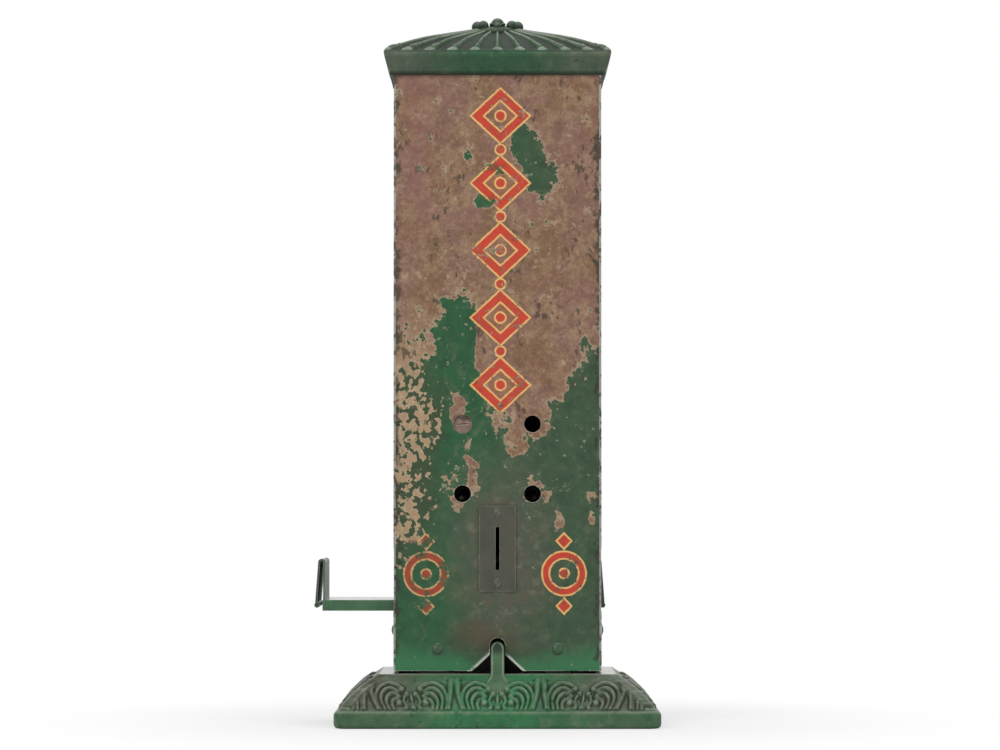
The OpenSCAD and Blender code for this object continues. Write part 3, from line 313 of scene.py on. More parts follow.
def body_paint(name, front):
    """Chipped green paint over brown, with the red and gold motifs if it is the front sheet."""
    g = Graph(name)
    fine = g.noise(6.0, 2.0, 4.0)
    spots = g.noise(3.3, 11.0, 1.5)
    speck = g.noise(1.3, 3.0, 4.0, 0.6)
    grain = g.noise(0.7, 12.0, 2.0)
    # Place on the sheet, shifted by noise so that no patch has a plain outline
    at_x = g.add(g.x, g.times(g.take(g.noise(24, 1.0, 3.0), 0.5), 20.0))
    at_z = g.add(g.z, g.times(g.take(g.noise(20, 5.0, 3.0), 0.5), 24.0))
    on_front = g.math("LESS_THAN", g.y, FRONT_Y + 0.4)

    # Where green paint is left
    line = paint_line(g, at_x) if front else g.add(paint_line(g, g.times(at_x, -0.8)), 24.0)
    if front:
        on_side = g.band(g.y, FRONT_Y + 2.0, FRONT_Y + 20.0)
        line = g.add(line, g.times(on_side, g.times(g.take(g.noise(30, 23.0, 3.0), 0.42), 150.0)))
    left = g.add(g.math("DIVIDE", g.take(line, at_z), 26.0), 0.5)
    left = g.least(g.most(left, 0.0), 1.05)
    if front:
        for centre, radii, weight in PAINT_KEPT:
            left = g.add(left, g.times(g.blot(at_x, at_z, centre, radii, 0.6), weight))
        left = g.least(left, 1.05)
        for centre, radii, weight in PAINT_LOST:
            left = g.take(left, g.times(g.blot(at_x, at_z, centre, radii, 0.5), weight))
    score = g.add(left, g.times(g.take(fine, 0.5), 2.3))
    near_front = g.band(g.add(g.y, g.times(g.take(fine, 0.5), 30.0)), FRONT_Y + 22.0, FRONT_Y + 8.0)
    spotted = g.times(g.blot(at_x, at_z, *SPOTTED, 0.45), near_front)
    spot_score = g.add(g.add(0.40, g.times(g.band(at_x, -44, -24), 0.34)), g.times(g.take(spots, 0.5), 2.4))
    score = g.blend(spotted, score, spot_score)
    score = g.add(score, g.add(g.times(g.take(speck, 0.5), 0.8), g.times(g.take(spots, 0.5), 0.7)))
    green = g.band(score, 0.47, 0.53)
    rim = g.times(g.band(score, 0.22, 0.44), g.invert(green))

    # Brown ground with tan and pink clouds and dark flecks
    ground = g.mix(g.band(g.noise(16, 6.0, 4.0), 0.38, 0.62), BROWN, BROWN_PINK)
    ground = g.mix(g.times(g.band(g.noise(6.0, 13.0, 9.0, 0.75), 0.44, 0.66), 0.62), ground, TAN)
    ground = g.mix(g.times(g.band(g.noise(8, 14.0, 8.0, 0.7), 0.52, 0.68), 0.5), ground, BROWN_CLOUD)
    mottle = g.noise(1.7, 19.0, 6.0, 0.7)
    ground = g.mix(g.times(g.band(mottle, 0.50, 0.66), 0.40), ground, TAN)
    ground = g.mix(g.times(g.band(mottle, 0.48, 0.32), 0.45), ground, BROWN_MOTTLE)
    ground = g.mix(g.times(spotted, 0.6), ground, CHIP_TAN)
    ground = g.mix(g.times(rim, 0.45), ground, CHIP_RIM)
    crowd = g.band(g.noise(17, 15.0, 3.0), 0.46, 0.66)
    fleck_place = g.node("ShaderNodeVectorMath", {0: g.place, 1: FLECK_STRETCH},
                         operation="MULTIPLY").outputs[0]
    flecks = g.band(g.add(g.noise(3.0, 16.0, 4.0, place=fleck_place), g.times(crowd, 0.16)), 0.66, 0.74)
    ground = g.mix(g.times(flecks, 0.75), ground, BROWN_DARK)
    streak = g.blot(at_x, at_z, *STREAK, 0.6)
    ground = g.mix(g.times(streak, 0.4), ground, BROWN_ROSE)

    # Green paint, greyer to the right and round the coin plate
    paint = g.mix(g.band(at_x, -14, 24), GREEN_RICH, GREEN_SOFT)
    paint = g.mix(g.times(g.band(fine, 0.58, 0.36), 0.3), paint, GREEN_DARK)
    rubbed = g.noise(4.5, 24.0, 6.0, 0.68)
    paint = g.mix(g.times(g.band(rubbed, 0.50, 0.68), 0.36), paint, GREEN_RUBBED)
    paint = g.mix(g.times(g.band(rubbed, 0.48, 0.30), 0.36), paint, GREEN_DARK)
    paint = g.mix(g.times(spotted, 0.62), paint, GREEN_OLIVE)
    if front:
        worn = g.blot(at_x, at_z, *WORN, 0.6)
        paint = g.mix(g.times(worn, 0.85), paint, g.mix(g.band(fine, 0.4, 0.6), GREEN_GREY, WORN_BROWN))
        smear = g.times(worn, g.band(g.noise(5.0, 25.0, 6.0, 0.65), 0.50, 0.66))
        paint = g.mix(g.times(smear, 0.45), paint, SMEAR_GREY)
        stain = g.blot(at_x, at_z, *STAIN, 0.6)
        paint = g.mix(g.times(stain, 0.55), paint, STAIN_BROWN)
    # Painted sheen: a brighter green band along the bottom of the sheet, higher towards the corners.
    strip_top = g.add(STRIP_Z, g.times(g.math("ABSOLUTE", g.x), STRIP_RISE))
    low_sheen = g.band(g.add(g.z, g.times(g.take(fine, 0.5), 10.0)), strip_top, STRIP_LOW_Z)
    paint = g.mix(g.times(low_sheen, 0.85), paint, GREEN_SHEEN)
    near_chips = g.times(g.band(score, 1.5, 0.7), g.band(g.z, 70.0, 120.0))
    pale = g.band(g.add(g.noise(2.0, 17.0, 2.0), g.times(near_chips, 0.07)), 0.69, 0.73)
    paint = g.mix(g.times(pale, 0.65), paint, PAINT_DOT)
    colour = g.mix(green, ground, paint)
    colour = g.mix(g.times(g.band(grain, 0.62, 0.72), 0.35), colour, BROWN_DARK)

    # Red and gold motifs
    if front:
        left_mark, right_mark = [roundel(g, x, z) for x, z in ROUNDELS]
        chain, lozenges = motif_chain(g)
        tint = g.times(g.band(lozenges, 0.4, -0.4), g.times(g.band(fine, 0.62, 0.42), on_front))
        colour = g.mix(g.times(tint, 0.4), colour, MOTIF_TINT)
        marks = g.add(g.least(chain, left_mark, right_mark), g.times(g.take(speck, 0.5), 0.9))
        whole = g.times(g.band(marks, 0.15, -0.15), on_front)
        filled = g.band(marks, -0.7, -1.0)
        faded = g.band(left_mark, 1.0, 0.0)
        patchy = g.times(g.take(g.noise(13, 20.0, 2.0), 0.5), 0.3)
        wear = g.add(g.add(g.times(fine, 0.5), g.times(speck, 0.5)), patchy)
        kept = g.band(wear, g.blend(faded, 0.62, 0.60), g.blend(faded, 0.54, 0.48))
        fading = g.add(g.times(faded, 0.7), g.times(g.band(fine, 0.42, 0.62), 0.4))
        red = g.mix(fading, MOTIF_RED, MOTIF_RED_WORN)
        ink = g.mix(filled, g.mix(g.times(faded, 0.5), MOTIF_GOLD, TAN), red)
        colour = g.mix(g.times(whole, g.times(kept, 0.95)), colour, ink)

    # Dark blotches and bare bright metal along the bent corners
    edge_x = g.math("ABSOLUTE", g.x)
    dirt = g.band(g.add(edge_x, g.times(g.take(spots, 0.5), 9.0)), BODY_HALF_W - 3.6, BODY_HALF_W - 1.8)
    dirt = g.times(g.times(dirt, on_front), g.band(g.noise(9, 18.0, 4.0), 0.42, 0.54))
    colour = g.mix(g.times(dirt, 0.8), colour, EDGE_DIRT)
    # A darker band along the bent corners.
    corner = g.times(g.band(edge_x, BODY_HALF_W - 1.3, BODY_HALF_W - 0.6),
                     g.band(g.y, FRONT_Y + 2.6, FRONT_Y + 1.2))
    colour = g.mix(g.times(corner, 0.8), colour, CORNER_DARK)
    bare = g.most(g.times(corner, g.band(g.noise(5, 9.0, 4.0, 0.7), 0.43, 0.50)),
                  g.times(g.edges(0.5), g.band(fine, 0.34, 0.5)))
    # The lips bent forward get patches of the bright edge colour as painted highlight.
    lips = g.band(g.y, FRONT_Y - 0.2, FRONT_Y - 0.8)
    bare = g.most(bare, g.times(lips, g.band(fine, 0.36, 0.52)))
    colour = g.mix(g.times(bare, 0.9), colour, EDGE_BRIGHT)

    # Unpainted inside
    inner = g.times(g.band(edge_x, BODY_HALF_W - 0.4, BODY_HALF_W - 0.6),
                    g.band(g.math("ABSOLUTE", g.y), -0.4 - FRONT_Y, -0.6 - FRONT_Y))
    colour = g.mix(inner, colour, g.mix(fine, INSIDE_LIGHT, INSIDE_DARK))
    height = g.add(g.times(green, 0.5), g.times(speck, 0.3))
    normal = g.bump(height, 0.10, g.bump(g.noise(34, 10.0, 1.0), 0.5))
    shine = g.add(g.blend(green, 0.52, 0.36), g.times(g.take(speck, 0.5), 0.25))
    return g.finish(colour, shine, normal, metallic=g.times(bare, 0.5), specular=0.4)


# Painted castings

BAND_Z = 8.5
SHADE_LOW_Z = (24.0, 24.6)
SHADE_TOP_Z = (60.0, 50.0)


def casting_paint(name, middle_paint, end_paint, ridge_paint, wear, rough, specular=0.35):
    """Green paint over a casting, with painted shade in the hollows and worn paint and painted highlight on
    whatever stands proud.
    """
    g = Graph(name)
    relief = g.attribute("relief")
    fine = g.noise(3.2, 1.0, 5.0, 0.6)
    speck = g.noise(0.8, 2.0, 3.0)
    cloud = g.noise(22, 3.0, 3.0)
    proud = g.add(relief, g.times(g.take(fine, 0.5), 0.55))
    across = g.math("ABSOLUTE", g.x)
    middle = g.band(g.add(across, g.times(g.take(cloud, 0.5), 40.0)), 56.0, 8.0)
    paint = g.mix(middle, end_paint, middle_paint)
    paint = g.mix(g.times(g.band(g.z, BAND_Z + 1.5, BAND_Z - 1.0), 0.4), paint, middle_paint)
    paint = g.mix(g.times(g.band(cloud, 0.44, 0.62), 0.35), paint, GREEN_RICH)
    rubbed = g.noise(6.0, 4.0, 6.0, 0.68)
    paint = g.mix(g.times(g.band(rubbed, 0.50, 0.68), 0.40), paint, CAST_RUBBED)
    paint = g.mix(g.times(g.band(rubbed, 0.48, 0.30), 0.40), paint, GREEN_DARK)
    paint = g.mix(g.times(g.band(fine, 0.44, 0.30), 0.5), paint, CAST_DARK)
    # Painted shade: the paint darkens where the relief attribute is low, in the hollows and under overhangs.
    paint = g.mix(g.times(g.band(relief, 0.41, 0.10), 0.85), paint, CAST_DARK)
    # Worn paint and painted highlight on whatever stands proud.
    colour = g.mix(g.times(g.band(proud, 0.5, 0.95), wear), paint, ridge_paint)
    colour = g.mix(g.times(g.band(fine, 0.60, 0.70), 0.3), colour, CAST_RUST)
    colour = g.mix(g.times(g.band(speck, 0.64, 0.74), 0.5), colour, SOOT_AND_SHADE)

    # Shelf under the body: painted reflection where it shows, painted shade beneath
    shelf = g.band(relief, 1.5, 1.9)
    colour = g.mix(g.times(shelf, 0.7), colour, SHELF_REFLECTION)
    # Painted shade on the plateau and lugs under the body.
    under = g.times(g.band(across, BODY_HALF_W + 1.0, BODY_HALF_W - 0.5),
                    g.band(g.math("ABSOLUTE", g.y), 1.5 - FRONT_Y, -0.5 - FRONT_Y))
    under = g.times(under, g.times(g.band(g.z, *SHADE_LOW_Z), g.band(g.z, *SHADE_TOP_Z)))
    colour = g.mix(g.times(under, 0.9), colour, SOOT_AND_SHADE)
    normal = g.bump(g.add(g.times(fine, 0.7), g.times(speck, 0.3)), 0.24)
    roughness = g.blend(shelf, g.blend(fine, rough - 0.1, rough + 0.14), 0.22)
    bare = g.times(g.band(proud, 0.6, 1.0), 0.3)
    return g.finish(colour, roughness, normal, metallic=bare, specular=specular)


# Small parts


def painted_metal(name, paint, paint_2, worn, wear=0.5, rough=0.4):
    """Painted piece with its colour in clouds and its edges rubbed bare."""
    g = Graph(name)
    fine = g.noise(2.6, 1.0, 5.0, 0.6)
    cloud = g.noise(15, 2.0, 3.0)
    speck = g.noise(0.7, 3.0, 2.0)
    colour = g.mix(g.band(cloud, 0.38, 0.62), paint, paint_2)
    chips = g.band(g.add(fine, g.times(g.take(cloud, 0.5), 0.4)), 0.74 - 0.2 * wear, 0.80 - 0.2 * wear)
    rubbed = g.times(g.edges(0.6), g.band(fine, 0.32, 0.52))
    colour = g.mix(g.times(chips, 0.6), colour, TAN)
    colour = g.mix(g.times(rubbed, 0.85), colour, worn)
    colour = g.mix(g.times(g.band(speck, 0.66, 0.74), 0.4), colour, SOOT_AND_SHADE)
    normal = g.bump(fine, 0.08)
    return g.finish(colour, g.blend(fine, rough - 0.1, rough + 0.15), normal, metallic=g.times(rubbed, 0.6))


def bolt_finish(name, node_name):
    """Brown bolt with painted shade under the upper edge of its head, painted light on its lower part and a
    rubbed slot.
    """
    g = Graph(name)
    low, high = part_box(node_name)
    middle_z = (low.z + high.z) / 2 / MM
    fine = g.noise(2.6, 1.0, 5.0, 0.6)
    colour = g.mix(g.band(fine, 0.38, 0.62), BOLT_BROWN, BOLT_DIM)
    # Painted shade on the upper part of the head.
    upper = g.band(g.add(g.z, g.times(g.take(fine, 0.5), 2.0)), middle_z + 0.4, middle_z + 3.0)
    colour = g.mix(g.times(upper, 0.8), colour, BOLT_SHADE)
    # Painted light on the lower part of the head.
    lower = g.band(g.z, middle_z - 1.2, middle_z - 3.4)
    colour = g.mix(g.times(lower, 0.4), colour, BOLT_LIT)
    rubbed = g.times(g.edges(0.5), g.band(fine, 0.30, 0.50))
    colour = g.mix(g.times(rubbed, 0.85), colour, BOLT_RUBBED)
    return g.finish(colour, g.blend(fine, 0.3, 0.5), g.bump(fine, 0.08), metallic=g.times(rubbed, 0.5))


# Where the tray turns up into its pull tabs
LEFT_TAB_X = (-84.2, -85.2)
RIGHT_TAB_X = (48.4, 49.2)


def shuttle_finish(name):
    """Green paint, rubbed bright where the boxes slide, with painted reflection on the upward faces, and dark
    on the pull tabs.
    """
    g = Graph(name)
    fine = g.noise(2.6, 1.0, 5.0, 0.6)
    cloud = g.noise(15, 2.0, 3.0)
    normal = g.tree.nodes.new("ShaderNodeNewGeometry").outputs["Normal"]
    facing = g.node("ShaderNodeSeparateXYZ", {0: normal}).outputs[2]
    # Upward faces pale: wear where the boxes slide and painted reflection.
    rubbed = g.times(g.band(facing, 0.8, 0.95), g.band(fine, 0.25, 0.45))
    tabs = g.most(g.band(g.x, *LEFT_TAB_X), g.band(g.x, *RIGHT_TAB_X))
    worn = g.times(g.edges(0.6), g.band(fine, 0.32, 0.52))
    colour = g.mix(g.band(cloud, 0.38, 0.62), TRAY_GREEN, TRAY_LIGHT)
    colour = g.mix(g.times(tabs, 0.75), colour, g.mix(cloud, TAB_GREY, TAB_GREEN))
    colour = g.mix(g.times(g.band(fine, 0.62, 0.70), 0.5), colour, TRAY_RUST)
    colour = g.mix(g.times(worn, 0.8), colour, PAINT_EDGE)
    colour = g.mix(g.times(rubbed, 0.75), colour, TRAY_BRIGHT)
    return g.finish(colour, g.blend(rubbed, g.blend(fine, 0.28, 0.5), 0.18), g.bump(fine, 0.08),
                    metallic=g.times(g.most(worn, rubbed), 0.4))


def aged_metal(name, metal, dull, rough, shine=1.0, inside_shade=0.0):
    """Bare metal gone dull in patches, with painted shade darkening it towards the front if asked."""
    g = Graph(name)
    fine = g.noise(2.2, 1.0, 5.0, 0.6)
    cloud = g.noise(12, 2.0, 4.0)
    age = g.band(g.add(cloud, g.times(g.take(fine, 0.5), 0.5)), 0.40, 0.66)
    colour = g.mix(age, metal, dull)
    colour = g.mix(g.times(g.band(fine, 0.60, 0.72), 0.5), colour, RUST)
    colour = g.mix(g.times(g.edges(0.4), 0.4), colour, BARE_METAL)
    # Painted shade towards the front, where the piece lies inside the body.
    if inside_shade:
        colour = g.mix(g.times(g.band(g.y, 26.0, 4.0), inside_shade), colour, SOOT_AND_SHADE)
    normal = g.bump(fine, 0.05)
    return g.finish(colour, g.blend(age, rough, rough + 0.25), normal,
                    metallic=g.times(g.invert(g.times(age, 0.45)), shine))


sheet_front = body_paint("chipped_front_sheet", front=True)
sheet_rear = body_paint("chipped_rear_sheet", front=False)
lid_paint = casting_paint("lid_casting_paint", tone(58, 94, 68), CAST_END, tone(178, 184, 170),
                          wear=0.8, rough=0.5, specular=0.16)
finial_paint = casting_paint("finial_paint", tone(74, 94, 72), CAST_END, PAINT_EDGE, wear=0.6, rough=0.46)
base_paint = casting_paint("base_casting_paint", tone(54, 122, 78), CAST_GREY, tone(146, 152, 130),
                           wear=0.7, rough=0.36)
post_paint = casting_paint("post_paint", tone(80, 114, 80), CAST_GREY, tone(150, 160, 142),
                           wear=0.8, rough=0.4)
plate_paint = painted_metal("coin_plate_paint", tone(80, 79, 67), tone(71, 74, 61), tone(164, 164, 148),
                            wear=0.2)
screw_paint = painted_metal("foot_screw_paint", GREEN_RICH, tone(60, 88, 64), PAINT_EDGE, wear=0.2)
shuttle_paint = shuttle_finish("shuttle_paint")
bolt_paint = bolt_finish("bolt_paint", "guide_bolt")
tin = aged_metal("dull_tin", TIN_LIGHT, TIN_DULL, rough=0.42, shine=0.8)
drawer_tin = aged_metal("drawer_tin", TIN_LIGHT, TIN_DULL, rough=0.44, shine=0.8, inside_shade=0.8)
steel = aged_metal("aged_steel", tone(140, 138, 132), tone(92, 86, 80), rough=0.34)
blade = aged_metal("ground_blade", tone(176, 176, 172), tone(122, 118, 112), rough=0.24)
brass = aged_metal("tarnished_brass", tone(190, 152, 80), tone(122, 92, 48), rough=0.30)
nickel = aged_metal("worn_nickel", tone(186, 182, 172), tone(130, 122, 108), rough=0.22)

FINISH = {
    "body_shell": sheet_front, "rear_panel": sheet_rear, "coin_plate": plate_paint,
    "coin_plate_screws": plate_paint, "front_foot_screws": screw_paint, "side_foot_screws": screw_paint,
    "guide_bolt": bolt_paint, "shuttle_tray": shuttle_paint, "cash_drawer": drawer_tin, "deck_plate": tin,
    "column_guide_left": tin, "column_guide_right": tin, "coin_chute": tin, "shuttle_bridge": tin,
    "lid_lock_plug": brass, "drawer_lock_plug": brass,
    "lid_lock_barrel": nickel, "drawer_lock_barrel": nickel,
    "cutter_knife": blade, "lock_pawl": blade,
}
for node_name, piece in nodes.items():
    piece.data.materials.clear()
    piece.data.materials.append(FINISH.get(node_name, steel))

# Mesh helpers


def build(name, points, faces, relief, body, node, material, crease=40):
    """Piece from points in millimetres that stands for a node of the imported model."""
    mesh = bpy.data.meshes.new(name)
    mesh.from_pydata((np.asarray(points) * MM).tolist(), [], faces)
    mesh.update()
    mesh.shade_smooth()
    mesh.set_sharp_from_angle(angle=math.radians(crease))
    mesh.attributes.new("relief", "FLOAT", "POINT").data.foreach_set("value", np.asarray(relief, np.float32))
    mesh.materials.append(material)
    made = bpy.data.objects.new(name, mesh)
    bpy.context.scene.collection.objects.link(made)
    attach(made, body)
    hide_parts(node)
    return made


def skin(rings, first=0):
    """Faces between closed rings of equal length, with a cap on the first and the last."""
    levels, n = len(rings), len(rings[0])
    index = first + np.arange(levels * n).reshape(levels, n)
    onward = np.roll(index, -1, axis=1)
    quads = np.stack([index[:-1], onward[:-1], onward[1:], index[1:]], axis=-1).reshape(-1, 4).tolist()
    return [index[0][::-1].tolist()] + quads + [index[-1].tolist()]


class Outline:
    """Rounded rectangle walked round anticlockwise, seen from above, from its front-left corner."""

    def __init__(self, across, deep, corner):
        side, along, turn = [], [], []
        for k, steps in enumerate((across, deep, across, deep)):
            side += [k] * (steps + corner)
            along += list(np.linspace(-1, 1, steps)) + [1.0] * corner
            turn += [0.0] * steps + list(np.arange(1, corner + 1) / (corner + 1))
        start = math.pi / 2 * (np.array(side) - 1)
        angle = start + math.pi / 2 * np.array(turn)
        self.along = np.array(along)
        self.corner = np.array(turn) > 0
        self.front = np.array(side) % 2 == 0
        self.normal = np.stack([np.cos(start), np.sin(start)], axis=1)
        self.tangent = np.stack([-np.sin(start), np.cos(start)], axis=1)
        self.out = np.stack([np.cos(angle), np.sin(angle)], axis=1)

    def reach(self, half_x, half_y):
        """Half length of the side that each point lies on."""
        return np.where(self.front, half_x, half_y)

    def ring(self, half_x, half_y, z, r):
        away = self.reach(half_y, half_x) - r
        span = self.reach(half_x, half_y) - r
        flat = self.normal * away[:, None] + self.tangent * (span * self.along)[:, None] + r * self.out
        return np.column_stack([flat, np.full(len(flat), z)])


def smooth(value, low, high):
    t = np.clip((value - low) / (high - low), 0, 1)
    return t * t * (3 - 2 * t)


# Leaf relief on the slopes of the base

BAY = 40.8
SLOPE = 24.6
GRID = 0.2
LEAF_H = 1.6


def spline(points, steps=12):
    """Smooth path through points."""
    p = np.array([points[0]] + list(points) + [points[-1]], float)
    t = np.linspace(0, 1, steps, endpoint=False)[:, None]
    made = []
    for a, b, c, d in zip(p, p[1:], p[2:], p[3:]):
        bend = (2 * a - 5 * b + 4 * c - d) * t ** 2 + (3 * b - a - 3 * c + d) * t ** 3
        made.append(0.5 * (2 * b + (c - a) * t + bend))
    return np.concatenate(made + [p[-1:]])


def ridge(grid, path, wide, high):
    """Rounded ridge along a path; the width and height run from the first value to the second."""
    best = np.zeros(grid.shape[:2])
    count = len(path)
    for i, point in enumerate(path):
        t = i / (count - 1)
        w = wide[0] + (wide[1] - wide[0]) * t
        h = high[0] + (high[1] - high[0]) * t
        far = ((grid - point) ** 2).sum(axis=2)
        best = np.maximum(best, h * np.sqrt(np.clip(1 - far / (w * w), 0, None)))
    return best


# Ribs of a fan from the foot of the slope to the curled tip: distance from the upright leaf, and height
FAN_RIBS = (
    ((4.6, 0.6), (3.6, 6.0), (4.0, 11.0), (6.0, 15.6), (9.6, 18.2), (13.4, 17.2), (16.2, 14.4)),
    ((6.8, 0.6), (5.8, 6.0), (6.3, 10.6), (8.5, 14.0), (11.4, 14.6), (14.0, 12.4)),
    ((9.0, 0.6), (8.1, 5.0), (8.9, 8.8), (10.9, 11.2), (13.1, 10.8), (14.4, 8.8)),
    ((11.2, 0.6), (10.6, 3.6), (11.5, 6.4), (13.1, 7.2), (14.4, 5.6)),
)
UPRIGHT_LEAF = ((1.1, 19.6), (1.5, 17.0), (1.7, 13.0), (2.4, 7.0), (3.4, 0.6))
UPRIGHT_WING = ((2.4, 17.6), (5.0, 19.6), (9.0, 19.0))
STALK = ((17.2, 9.2), (16.5, 6.0), (17.5, 3.0), (16.6, 0.8))
MIDDLE_LEAF = ((20.4, 12.0), (20.4, 8.0), (20.4, 4.0), (20.4, 1.2))
SIDE_LEAF = ((18.3, 5.6), (18.9, 4.0), (19.6, 1.2))
BUD = ((18.3, 10.6), (18.3, 10.8))


def blurred(table, reach):
    """Table averaged over a square of twice the reach in each direction, three times."""
    for _ in range(3):
        for axis in (0, 1):
            padded = np.pad(table, [(reach, reach) if k == axis else (0, 0) for k in (0, 1)], mode="reflect")
            table = sum(np.take(padded, range(i, i + table.shape[axis]), axis) for i in range(2 * reach + 1))
            table = table / (2 * reach + 1)
    return table


def leaf_relief():
    """Heights over half a bay, from the axis of an upright leaf on, and how far each point stands proud of
    its surroundings, which gives the strokes wear and painted highlight and the ground beside them painted
    shade.
    """
    a = np.arange(0, BAY / 2 + GRID, GRID)
    v = np.arange(0, SLOPE + GRID, GRID)
    grid = np.stack(np.meshgrid(a, v, indexing="ij"), axis=2)
    up = grid[..., 1]
    strokes = [ridge(grid, spline(UPRIGHT_LEAF), (1.9, 1.0), (LEAF_H, 0.8 * LEAF_H)),
               ridge(grid, spline(UPRIGHT_WING), (0.8, 0.8), (0.6, 0.5)),
               ridge(grid, spline(STALK), (0.9, 1.1), (1.2, 1.0)),
               ridge(grid, spline(MIDDLE_LEAF), (0.5, 1.5), (0.9, 1.5)),
               ridge(grid, spline(SIDE_LEAF), (0.7, 0.8), (1.2, 0.9)),
               ridge(grid, BUD, (1.5, 1.5), (1.4, 1.4))]
    for rib in FAN_RIBS:
        path = spline(rib)
        tip = path[-1] + (-0.5, -0.7)
        strokes.append(ridge(grid, path, (0.9, 1.5), (0.65 * LEAF_H, LEAF_H)))
        strokes.append(ridge(grid, [tip, tip + (0.1, 0.0)], (1.6, 1.6), (LEAF_H, LEAF_H)))
    made = np.maximum.reduce(strokes) * smooth(up, 23.6, 21.6) * smooth(up, 0.1, 0.9)
    return made, np.clip(0.44 + 1.3 * (made - blurred(made, 4)) / LEAF_H, 0, 1)


def sampled(table, a, v):
    """Table of heights read between its grid points."""
    i, j = np.clip(a / GRID, 0, table.shape[0] - 1.001), np.clip(v / GRID, 0, table.shape[1] - 1.001)
    i0, j0 = i.astype(int), j.astype(int)
    fi, fj = i - i0, j - j0
    return ((table[i0, j0] * (1 - fi) + table[i0 + 1, j0] * fi) * (1 - fj)
            + (table[i0, j0 + 1] * (1 - fi) + table[i0 + 1, j0 + 1] * fi) * fj)


# Base casting

base_low, base_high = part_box("base_casting")
BASE_W = (base_high.x - base_low.x) / MM
BASE_D = (base_high.y - base_low.y) / MM
BASE_H = 25.0
PLATEAU_W = 114.0
PLATEAU_D = 80.0
BAND_R = 2.2
CAST_T = 4.0
CORNER_R = 4.4
BULGE = 1.5
SLOPE_ROWS = 56


def slope_place(u):
    """Half width, half depth and height of the slope at a share of its height."""
    out = BULGE * math.sin(math.pi * u) - BAND_R * (1 - u)
    return ((BASE_W + (PLATEAU_W - BASE_W) * u) / 2 + out, (BASE_D + (PLATEAU_D - BASE_D) * u) / 2 + out,
            BAND_Z + (BASE_H - BAND_Z) * u)


def slope_ring(outline, u, inset=0.0):
    half_x, half_y, z = slope_place(u)
    return outline.ring(half_x - inset, half_y - inset, z - inset, CORNER_R)


def make_base():
    outline = Outline(320, 250, 9)
    # The second table sets wear and painted highlight on the strokes and painted shade in the hollows beside
    # them.
    table, worn = leaf_relief()
    rings, relief = [], []

    def level(points, height):
        rings.append(points)
        relief.append(np.broadcast_to(height, len(points)).astype(float))

    def band_level(inset, z, height):
        level(outline.ring(BASE_W / 2 - inset, BASE_D / 2 - inset, z, CORNER_R), height)

    for i in range(6):
        level(slope_ring(outline, 1 - i / 5, CAST_T), 0.1)
    band_level(BAND_R + CAST_T, 0, 0.2)
    for a in np.radians([0, 30, 60, 90]):
        band_level(BAND_R * (1 - math.sin(a)), BAND_R * (1 - math.cos(a)), 0.45)
    for a in np.radians([0, 22, 45, 67, 90]):
        rise = BAND_Z - BAND_R + BAND_R * math.sin(a)
        band_level(BAND_R * (1 - math.cos(a)), rise, 0.45 + 0.25 * math.sin(2 * a))
    lean = np.array([BASE_H - BAND_Z, (BASE_W - PLATEAU_W) / 2 - BAND_R])
    lean = lean / np.hypot(*lean)
    for u in np.linspace(0, 1, SLOPE_ROWS)[1:]:
        points = slope_ring(outline, u)
        half_x = (BASE_W + (PLATEAU_W - BASE_W) * u) / 2
        half_y = (BASE_D + (PLATEAU_D - BASE_D) * u) / 2
        span = outline.reach(half_x, half_y) - CORNER_R
        along = outline.along * span
        turn = np.mod(along + BAY / 2, BAY)
        a = np.minimum(turn, BAY - turn)
        v = np.full(len(points), u * SLOPE)
        to_hip = np.where(outline.corner, 0.0, span - np.abs(along))
        high = sampled(table, a, v) * smooth(to_hip, 0.8, 3.4)
        hip = 0.6 * np.exp(-(to_hip / 1.0) ** 2) * smooth(v, 1.0, 5.0) * smooth(v, 23.0, 17.0)
        high = np.maximum(high, hip)
        points[:, :2] += outline.out * (high * lean[0])[:, None]
        points[:, 2] += high * lean[1]
        # The top rows of the slope get extra relief: a painted highlight line along the edge.
        level(points, np.maximum(sampled(worn, a, v), hip) + (0.4 if u > 0.97 else 0.0))
    # Relief 2.0 on the plateau makes the paint take the shelf's painted reflection.
    for inset in (0.6, 1.0, 6.0):
        level(outline.ring(PLATEAU_W / 2 - inset, PLATEAU_D / 2 - inset, BASE_H, CORNER_R - inset / 3), 2.0)
    return build("base_relief", np.concatenate(rings), skin(rings), np.concatenate(relief), "cabinet",
                 "base_casting", base_paint, 60)


POST_HALF_W = 3.2
POST_TOP = 40.2
POST_FRONT = -42.0
POST_BACK = -31.2
POST_EDGE_R = 1.2
FOOT_U = 0.46
FOOT_LIFT = 1.9
FOOT_FLARE = 2.3


